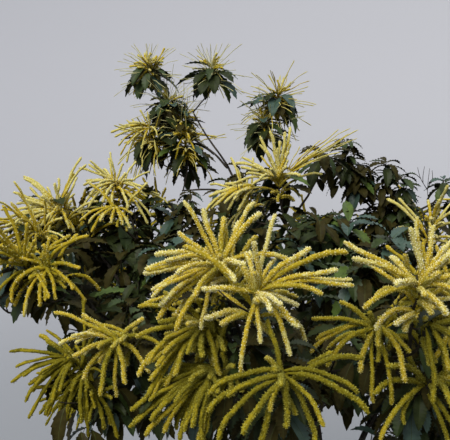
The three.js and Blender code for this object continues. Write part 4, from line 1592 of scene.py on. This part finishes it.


# %% Deal out the leaf tints by spray, and fill the bags. A deal holds the luck at which each tint ends. The deals paint
# shade by place: most on the shoots inside the crown, less on the skirts and round heads, least at the top
# The first two tints are painted shade and the fourth a painted sheen
LEAF_TINTS = ("painted_shade", "deep", "middle", "painted_sheen", "fresh")
LEAF_DEALS_OF_SHADE_AND_SHEEN = {
    "inside": (0.55, 0.84, 0.93, 0.98),
    "skirt": (0.36, 0.74, 0.90, 0.97),
    "round": (0.20, 0.60, 0.82, 0.94),
    "top": (0.15, 0.52, 0.78, 0.90),
    "painted_shade": (0.68, 0.86, 0.93, 0.98),
    "painted_sheen": (0.00, 0.22, 0.42, 0.92),
    "fresh": (0.00, 0.12, 0.42, 0.60),
}
TEETH = {True: (11, 0.14), False: (6, 0.08)}
GROUPS = ("shown", *RING_NAMES)

leaf_bags = {}
for group in GROUPS:
    bag = leaf_bags.setdefault(group, Bag())
    for near, (teeth, cut) in TEETH.items():
        rows = [leaf for leaf in leaves if leaf["group"] == group and leaf["near"] == near]
        if rows:
            tints = [int(np.searchsorted(LEAF_DEALS_OF_SHADE_AND_SHEEN[leaf["tone"]], leaf["luck"])) for leaf in rows]
            add_leaves(bag, rows, leaf_outline(teeth, cut), np.array(tints), len(LEAF_TINTS))
    print(group, "leaf triangles:", bag.triangles())

# %% [markdown]
# ## Catkins
# A chestnut's catkin is a long string of tiny flowers. Close to, it is a lumpy golden cord inside
# a fringe of cream stamens. Hair particles would be lost when the tree is handed on, so each catkin is
# a knobbly tube with small three-sided tufts standing out of it.

# %% The line of a catkin, and its thickness
KINK = 0.016
KINK_WAVES = 10
KINK_PHASES = (40, 90)
SWAY_SHARE = 0.35
STALK_ENDS, STALK_WIDENS = 0.03, 0.10
STALK_THICKNESS = (0.22, 0.78)
POINT_LENGTH = 0.04
POINT_THICKNESS = (0.06, 0.94)


def catkin_lines(rows, u):
    """The arcs of catkins, with a sideways sway and a few small kinks."""
    middle, tangent, normal = arcs(rows, u)
    side = np.cross(tangent, normal)
    length, luck = column(rows, "length"), column(rows, "luck")
    sway = column(rows, "sway") * length * SWAY_SHARE * u**2
    kink, lift = (KINK * length * u * np.sin(KINK_WAVES * u + phase * luck) for phase in KINK_PHASES)
    middle = middle + side[:, :1] * (sway + kink)[..., None] + normal * lift[..., None]
    return middle, tangent, normal, side


def core_radius(u):
    """The catkin's thickness along its length: a thin stalk, an even body and a blunt end."""
    stalk = np.clip((u - STALK_ENDS) / STALK_WIDENS, 0, 1)
    point = np.clip((1 - u) / POINT_LENGTH, 0, 1)
    return ranged(ease(stalk), *STALK_THICKNESS) * ranged(np.sqrt(point), *POINT_THICKNESS)


# %% A catkin is painted a step deeper in shade at its foot and a step lighter at its tip
FOOT_ENDS = 0.24
TIP_STARTS = 0.74
ZONE_BLEND = 0.5


def zone_tints(u, tints, chance):
    """The tint at each share u of each catkin. tints holds one each for the foot, the body and the tip."""
    edge = u + ZONE_BLEND * (chance.random(u.shape) - 0.5)
    zone = (edge > FOOT_ENDS).astype(int) + (edge > TIP_STARTS)
    return np.take_along_axis(tints, zone, 1).ravel()


# %% The knobbly core
KNOB = 0.20
ROUGH = 0.22
BODY_ENDS, END_ROUNDS = 0.955, 0.985


def add_cores(bag, rows, rings, sides, tints, seed):
    chance = np.random.default_rng(seed)
    u = np.concatenate([np.linspace(0, BODY_ENDS, rings - 2), [END_ROUNDS, 1.0]])
    middle, tangent, normal, side = catkin_lines(rows, u[None])
    turn = turns(sides)[:, None]
    ring, spoke = np.meshgrid(np.arange(rings), np.arange(sides), indexing="ij")
    knob = np.where((ring + spoke) % 2, KNOB, -KNOB)
    rough = ROUGH * (chance.random((len(rows), rings, sides)) - 0.5)
    radius = column(rows, "radius")[..., None] * core_radius(u)[None, :, None] * (1 + knob[None] + rough)
    out = side[:, :, None] * np.cos(turn) + normal[:, :, None] * np.sin(turn)
    points = middle[:, :, None] + out * radius[..., None]
    at_quad = np.tile(np.repeat(u[:-1], sides), (len(rows), 1))
    faces = repeated(ring_quads(rings, sides), len(rows), rings * sides)
    bag.add(points, faces, zone_tints(at_quad, tints, chance))


# %% The fringe of stamens
TUFTS_FROM = (0.11, 0.89)
TUFT_TURN = 0.8
TUFT_FOOT = 0.85
TUFT_HEIGHT = 0.66
TUFT_VARIES = (0.7, 0.6)
TUFT_BACK = 0.3
BEAD_TUFTS = 6
BEAD_BLUR = 0.62
TUFT_FACES = np.array([(0, 1, 3), (1, 2, 3), (2, 0, 3)])


def add_tufts(bag, rows, count, width, tints, seed):
    """Small three-sided spikes that stand out of the core, a few together round each knot of flowers."""
    chance = np.random.default_rng(seed)
    table = (len(rows), count)
    beads = max(count // BEAD_TUFTS, 1)
    knot = np.floor(np.arange(count) * beads / count) + 0.5
    blur = BEAD_BLUR * (chance.random(table) - 0.5)
    u = ranged(np.clip((knot + blur) / beads, 0, 1), *TUFTS_FROM)
    turn = (np.arange(count) * GOLDEN_TURN + TUFT_TURN * chance.random(table))[..., None]
    middle, tangent, normal, side = catkin_lines(rows, u)
    out = side * np.cos(turn) + normal * np.sin(turn)
    flat = np.cross(tangent, out)
    radius = (column(rows, "radius") * core_radius(u))[..., None]
    foot = middle + out * radius * TUFT_FOOT
    tall = radius * TUFT_HEIGHT * ranged(chance.random(table), *TUFT_VARIES)[..., None]
    tip = foot + out * tall + tangent * tall * (chance.random(table) - TUFT_BACK)[..., None]
    wide = column(rows, "radius")[..., None] * width
    ahead, behind = foot + tangent * wide, foot - tangent * wide * 0.5
    points = np.stack([ahead, behind + flat * wide, behind - flat * wide, tip], 2)
    faces = repeated(TUFT_FACES, len(rows) * count, points.shape[2])
    bag.add(points, faces, np.repeat(zone_tints(u, tints, chance), len(TUFT_FACES)))


# %% Deal out the catkin tints by head, and fill the bags. The tints are painted light and shade: a share of the
# catkins is painted a step deeper in shade and a share a step lighter
# The catkins' painted lights, from painted sunlight to deep painted shade, then pale and budding
PAINTED_LIGHTS = ("sunny", "golden", "dull", "olive", "pale", "budding")
DEEPER_SHARE = 0.16
BRIGHTER_SHARE = 0.10
# Each painted light and the next one lighter
BRIGHTER_PAINTED_LIGHT = {"olive": "dull", "dull": "golden", "golden": "sunny", "sunny": "pale"}
NEAR_PARTING = -0.42
CORE_SEED, TUFT_SEED = 60, 80
DETAIL = {
    "near": {"rings": 16, "sides": 6, "tufts": 144, "width": 0.32},
    "shown": {"rings": 10, "sides": 5, "tufts": 38, "width": 0.36},
    "inner": {"rings": 9, "sides": 5, "tufts": 30, "width": 0.38},
    "around": {"rings": 7, "sides": 4, "tufts": 17, "width": 0.45},
    "top": {"rings": 7, "sides": 4, "tufts": 10, "width": 0.5},
}


def painted_light_tints(row):
    """The painted light of a catkin's foot, body and tip: a step deeper in shade at the foot and a step
    lighter at the tip.
    """
    light = row["light"]
    if row["luck"] < DEEPER_SHARE:
        light = DEEPER_PAINTED_SHADE.get(light, light)
    elif row["luck"] > 1 - BRIGHTER_SHARE:
        light = BRIGHTER_PAINTED_LIGHT.get(light, light)
    return [PAINTED_LIGHTS.index(shade) for shade in (DEEPER_PAINTED_SHADE.get(light, light), light, BRIGHTER_PAINTED_LIGHT.get(light, light))]


def catkin_group(row):
    """The near catkins make two pieces, parted at the middle of the photo."""
    if row["near"]:
        return "near_left" if row["root"][0] < NEAR_PARTING else "near_right"
    return "top" if row["mass"] in TOP_MASSES else row["group"]


catkin_bags = {}
for i, group in enumerate(("near_left", "near_right", *GROUPS, "top")):
    rows = [row for row in catkins if catkin_group(row) == group]
    bag = catkin_bags.setdefault(group, Bag())
    detail = DETAIL.get(group.split("_")[0], DETAIL["around"])
    tints = np.array([painted_light_tints(row) for row in rows])
    add_cores(bag, rows, detail["rings"], detail["sides"], tints, CORE_SEED + i)
    add_tufts(bag, rows, detail["tufts"], detail["width"], tints + len(PAINTED_LIGHTS), TUFT_SEED + i)
    print(group, "catkins:", len(rows), "triangles:", bag.triangles())

# %% [markdown]
# ## Finishes
# Each finish is a small node tree: noise at the right scale breaks up the plain colour, and the same
# noise moves the roughness and the bump. Painted pictures could do the same, but they would blur close
# to and would have to travel with the tree. The leaves have a soft gloss, because a chestnut's leaf is
# smooth above, and the catkins are dull like pollen.

# %% Helpers for shader nodes
def set_inputs(node, inputs):
    """Each input takes a value, or another node's output."""
    for key, value in inputs.items():
        if isinstance(value, bpy.types.NodeSocket):
            node.id_data.links.new(value, node.inputs[key])
        else:
            node.inputs[key].default_value = value


def output_of(material, kind, output, inputs, **settings):
    """An output of a new shader node. Settings such as its operation come before its inputs."""
    node = material.node_tree.nodes.new(f"ShaderNode{kind}")
    for name, value in settings.items():
        setattr(node, name, value)
    set_inputs(node, inputs)
    return node.outputs[output]


# %% A helper for noise-driven finishes
RAMP_ENDS = (0.32, 0.68)


def two_tones(material, noise, dark, light):
    """A colour that goes from dark to light with the noise."""
    colour = output_of(material, "ValToRGB", "Color", {"Fac": noise})
    for element, end, tone in zip(colour.node.color_ramp.elements, RAMP_ENDS, (dark, light)):
        element.position = end
        element.color = (*tone, 1)
    return colour


def finish(name, dark, light, scale, roughness, bump, detail=4.0, stretch=(1, 1, 1), specular=0.5):
    """A material whose colour wanders between two tones, with matching roughness and bump."""
    material = bpy.data.materials.new(name)
    material.use_nodes = True
    spot = output_of(material, "TexCoord", "Object", {})
    stretched = output_of(material, "Mapping", "Vector", {"Vector": spot, "Scale": stretch})
    noise = output_of(material, "TexNoise", "Fac", {"Vector": stretched, "Scale": scale, "Detail": detail})
    colour = two_tones(material, noise, dark, light)
    rough = {"Value": noise, "To Min": roughness[0], "To Max": roughness[1]}
    relief = {"Height": noise, "Strength": bump[0], "Distance": bump[1]}
    shown = {
        "Base Color": colour,
        "Roughness": output_of(material, "MapRange", "Result", rough),
        "Normal": output_of(material, "Bump", "Normal", relief),
        "Specular IOR Level": specular,
    }
    set_inputs(material.node_tree.nodes["Principled BSDF"], shown)
    return material


# %% The bark's finish is grey-brown with painted shade in its furrows low down, and darkens up the boughs
BARK_LOW = ((0.085, 0.070, 0.056), (0.25, 0.215, 0.175))
BARK_HIGH = ((0.022, 0.018, 0.013), (0.070, 0.058, 0.044))
BARK_LOOK = {
    "scale": 26,
    "roughness": (0.8, 0.95),
    "bump": (0.8, 0.003),
    "detail": 8,
    "stretch": (1, 1, 0.22),
    "specular": 0.2,
}
DARKENS_FROM, DARKENS_TO = 1.35, 2.7
FURROW_FROM = 0.15
FURROW_PAINTED_SHADE = 0.22
CRACK_NOISE = {"Scale": 48, "Detail": 3}
CRACK_STRETCH = (1, 1, 0.14)
CRACK_WIDTH = 0.035
CRACK_DARK = 0.35


def crack_shade(material, spot):
    """A factor that is low in a net of long fine cracks: where a stretched noise passes its middle."""
    stretched = output_of(material, "Mapping", "Vector", {"Vector": spot, "Scale": CRACK_STRETCH})
    noise = output_of(material, "TexNoise", "Fac", {"Vector": stretched, **CRACK_NOISE})
    centred = output_of(material, "Math", "Value", {0: noise, 1: 0.5}, operation="SUBTRACT")
    away = output_of(material, "Math", "Value", {0: centred}, operation="ABSOLUTE")
    shade = {"Value": away, "From Max": CRACK_WIDTH, "To Min": CRACK_DARK}
    return output_of(material, "MapRange", "Result", shade)


def furrow_shade(material):
    """A factor for painted shade: low in the mesh's furrows."""
    plate = output_of(material, "Attribute", "Fac", {}, attribute_name=PLATE_MARK)
    shade = {"Value": plate, "From Min": FURROW_FROM, "To Min": FURROW_PAINTED_SHADE}
    return output_of(material, "MapRange", "Result", shade)


def bark_finish():
    material = finish("furrowed_bark", *BARK_LOW, **BARK_LOOK)
    nodes = material.node_tree.nodes
    spot = nodes["Texture Coordinate"].outputs["Object"]
    high = two_tones(material, nodes["Noise Texture"].outputs["Fac"], *BARK_HIGH)
    level = output_of(material, "SeparateXYZ", "Z", {"Vector": spot})
    climb = {"Value": level, "From Min": DARKENS_FROM, "From Max": DARKENS_TO}
    tones = {"A": nodes["Color Ramp"].outputs["Color"], "B": high}
    tones["Factor"] = output_of(material, "MapRange", "Result", climb)
    colour = output_of(material, "Mix", "Result", tones, data_type="RGBA")
    for shade in (crack_shade(material, spot), furrow_shade(material)):
        shaded = {"Vector": colour, "Scale": shade}
        colour = output_of(material, "VectorMath", "Vector", shaded, operation="SCALE")
    set_inputs(nodes["Principled BSDF"], {"Base Color": colour})
    return material


bark = bark_finish()
print("shader nodes in the bark:", len(bark.node_tree.nodes))

# %% The twigs' finish
TWIG_COLOURS = ((0.012, 0.010, 0.006), (0.036, 0.029, 0.018))
TWIG_LOOK = {"scale": 60, "roughness": (0.6, 0.8), "bump": (0.3, 0.001), "detail": 3, "specular": 0.15}
twig_bark = finish("twig_bark", *TWIG_COLOURS, **TWIG_LOOK)
print("shader nodes in the twigs' bark:", len(twig_bark.node_tree.nodes))

# %% Leaf finishes, in the order of the leaf tints, and the pale midrib. The darkest two are painted shade and the
# bluish one a painted sheen; the others are the leaves' greens
LEAF_COLOURS_SHADE_AND_SHEEN = {
    "painted_shade": ((0.021, 0.0175, 0.0045), (0.039, 0.033, 0.0085)),
    "deep": ((0.014, 0.020, 0.0045), (0.027, 0.037, 0.0090)),
    "middle": ((0.022, 0.036, 0.009), (0.040, 0.062, 0.017)),
    "painted_sheen": ((0.020, 0.045, 0.030), (0.044, 0.082, 0.056)),
    "fresh": ((0.045, 0.072, 0.012), (0.078, 0.122, 0.022)),
    "rib": ((0.034, 0.044, 0.012), (0.058, 0.074, 0.020)),
}
LEAF_GLOSS = {"painted_shade": 0.05, "deep": 0.14, "middle": 0.22, "painted_sheen": 0.45, "fresh": 0.2, "rib": 0.1}
LEAF_LOOK = {"scale": 40, "roughness": (0.42, 0.62), "bump": (0.25, 0.0008)}
leaf_finishes = [
    finish(f"leaf_{tint}", *LEAF_COLOURS_SHADE_AND_SHEEN[tint], **LEAF_LOOK, specular=LEAF_GLOSS[tint])
    for tint in (*LEAF_TINTS, "rib")
]
print("leaf finishes:", len(leaf_finishes))

# %% Catkin finishes: a golden core and a paler fringe for each painted light. The sunny, golden and two shaded ones are
# lit and shaded copies of one finish, painted lighter or darker; pale is a step brighter still, and budding
# is the young catkins' own colour
CORE_COLOURS_BY_PAINTED_LIGHT = {
    "sunny": ((0.34, 0.24, 0.010), (0.53, 0.40, 0.036)),
    "golden": ((0.25, 0.18, 0.006), (0.40, 0.31, 0.020)),
    "dull": ((0.175, 0.135, 0.004), (0.30, 0.245, 0.012)),
    "olive": ((0.098, 0.082, 0.003), (0.19, 0.163, 0.009)),
    "pale": ((0.41, 0.345, 0.070), (0.63, 0.565, 0.18)),
    "budding": ((0.40, 0.375, 0.15), (0.60, 0.575, 0.29)),
}
FRINGE_COLOURS_BY_PAINTED_LIGHT = {
    "sunny": ((0.58, 0.505, 0.145), (0.81, 0.735, 0.34)),
    "golden": ((0.40, 0.35, 0.070), (0.58, 0.52, 0.16)),
    "dull": ((0.285, 0.258, 0.034), (0.43, 0.392, 0.080)),
    "olive": ((0.180, 0.165, 0.020), (0.285, 0.264, 0.048)),
    "pale": ((0.69, 0.645, 0.34), (0.89, 0.855, 0.56)),
    "budding": ((0.62, 0.61, 0.38), (0.82, 0.81, 0.56)),
}
CORE_LOOK = {"scale": 160, "roughness": (0.75, 0.95), "bump": (0.6, 0.0015), "specular": 0.1}
FRINGE_LOOK = {"scale": 120, "roughness": (0.8, 0.95), "bump": (0.2, 0.001), "specular": 0.08}
catkin_finishes = [finish(f"catkin_{light}", *CORE_COLOURS_BY_PAINTED_LIGHT[light], **CORE_LOOK) for light in PAINTED_LIGHTS]
catkin_finishes += [finish(f"fringe_{light}", *FRINGE_COLOURS_BY_PAINTED_LIGHT[light], **FRINGE_LOOK) for light in PAINTED_LIGHTS]
print("catkin finishes:", len(catkin_finishes))

# %% [markdown]
# ## Hang the pieces on the frame
# Every piece rides on the tree's one body. The trunk and
# each bough replace their own solid. The twigs, leaves and catkins together replace the masses.

# %% Trunk and boughs
trunk_piece = piece_from(trunk_bag, "trunk_bark", [bark])
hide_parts("trunk")
for name, bag in bough_bags.items():
    piece = piece_from(bag, f"{name}_bark", [bark])
    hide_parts(name)

# %% Twigs, leaves and catkins
def masses_in(rows):
    return sorted({f"foliage_{row['mass']}" for row in rows})


twigs_piece = piece_from(twigs_bag, "twigs", [twig_bark])
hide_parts(*(f"foliage_{mass['name']}" for mass in masses))
for group, bag in leaf_bags.items():
    piece = piece_from(bag, f"leaves_{group}", leaf_finishes)
    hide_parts(*masses_in(leaf for leaf in leaves if leaf["group"] == group))
for group, bag in catkin_bags.items():
    piece = piece_from(bag, f"catkins_{group}", catkin_finishes)
    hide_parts(*masses_in(row for row in catkins if catkin_group(row) == group))

# %% [markdown]
# ## Stage, light and camera
# The photo was taken from the height of the tree's top, against a pale background. The stage is
# a plain pale bowl, a little deeper in tone and flat under the tree and turned up far away, with no hard
# horizon. The light is two broad soft suns, one above and a weaker one from behind, and an even sky.

# %% The pale bowl
STAGE_FLAT = 9.0
STAGE_RIM = 22.0
STAGE_RISE = 14.0
STAGE_RINGS = (0.01, 3, 6)
STAGE_RIM_RINGS = 24
STAGE_SIDES = 96
STAGE_NEAR = (0.215, 0.225, 0.238)
STAGE_FAR = (0.375, 0.38, 0.405)
PALER_FROM, PALER_TO = 3.0, 17.0
STAGE_LOOK = {"scale": 3, "roughness": (0.85, 0.95), "bump": (0.0, 0.001), "specular": 0.1}


def stage_bowl():
    radii = np.concatenate([STAGE_RINGS, np.linspace(STAGE_FLAT, STAGE_RIM, STAGE_RIM_RINGS)])[:, None]
    lift = np.clip((radii - STAGE_FLAT) / (STAGE_RIM - STAGE_FLAT), 0, 1)
    turn = turns(STAGE_SIDES)
    rise = np.broadcast_to(STAGE_RISE * lift**2, (len(radii), STAGE_SIDES))
    bag = Bag()
    bag.add(
        np.stack([radii * np.cos(turn), radii * np.sin(turn), rise], -1),
        ring_quads(len(radii), STAGE_SIDES)[:, ::-1],
        0,
    )
    bag.add_faces(np.arange(STAGE_SIDES)[None], 0)
    return bag


def bowl_finish():
    """A little deeper in tone under the tree, and paler far away."""
    material = finish("stage_floor", STAGE_NEAR, STAGE_FAR, **STAGE_LOOK)
    nodes = material.node_tree.nodes
    spot = nodes["Texture Coordinate"].outputs["Object"]
    reach = output_of(material, "VectorMath", "Value", {0: spot}, operation="LENGTH")
    ends = {"Value": reach, "From Min": PALER_FROM, "From Max": PALER_TO}
    share = output_of(material, "MapRange", "Result", ends, interpolation_type="SMOOTHSTEP")
    tones = {"Factor": share, "A": (*STAGE_NEAR, 1), "B": (*STAGE_FAR, 1)}
    colour = output_of(material, "Mix", "Result", tones, data_type="RGBA")
    set_inputs(nodes["Principled BSDF"], {"Base Color": colour})
    return material


floor = mesh_from(stage_bowl(), "floor", [bowl_finish()])
print(f"floor: {2 * STAGE_RIM:.0f} m across, its rim {STAGE_RISE:.0f} m up")

# %% Light
SKY = {"Color": (0.80, 0.86, 1.0, 1), "Strength": 0.50}
SUNS = {
    "soft_key": {
        "strength": 3.45,
        "spread": math.radians(38),
        "colour": (1.0, 0.97, 0.92),
        "shines_from": (-1.6, -2.6, 4.0),
    },
    "soft_fill": {
        "strength": 1.1,
        "spread": math.radians(70),
        "colour": (0.88, 0.94, 1.0),
        "shines_from": (1.8, 2.8, 3.0),
    },
}


def add_sun(name, strength, spread, colour, shines_from):
    data = bpy.data.lights.new(name, "SUN")
    data.energy = strength
    data.angle = spread
    data.color = colour
    sun = bpy.data.objects.new(name, data)
    sun.rotation_euler = (-Vector(shines_from)).to_track_quat("-Z", "Y").to_euler()
    bpy.context.scene.collection.objects.link(sun)


for name, light in SUNS.items():
    add_sun(name, **light)
world = bpy.data.worlds.new("dull_sky")
world.use_nodes = True
set_inputs(world.node_tree.nodes["Background"], SKY)
bpy.context.scene.world = world
bpy.context.scene.view_settings.view_transform = "Standard"
bpy.context.scene.view_settings.look = "None"
print("suns:", *SUNS, "sky strength:", SKY["Strength"])

# %% Camera at the photo's viewing angle
SENSOR_WIDTH = 36
camera_data = bpy.data.cameras.new("photo_camera")
camera_data.sensor_fit = "HORIZONTAL"
camera_data.sensor_width = SENSOR_WIDTH
camera_data.lens = FOCAL_PIXELS * SENSOR_WIDTH / PHOTO_WIDTH
camera = bpy.data.objects.new("photo_camera", camera_data)
camera.location = CAMERA_PLACE
camera.rotation_euler = (math.pi / 2 - CAMERA_DIP, 0, 0)
bpy.context.scene.collection.objects.link(camera)
bpy.context.scene.camera = camera
print(f"lens: {camera_data.lens:.1f} mm, {math.degrees(CAMERA_DIP):.1f} degrees down")

# %% [markdown]
# The dressed tree has to stay as big as the imported one.

# %% Update the scene
bpy.context.view_layer.update()
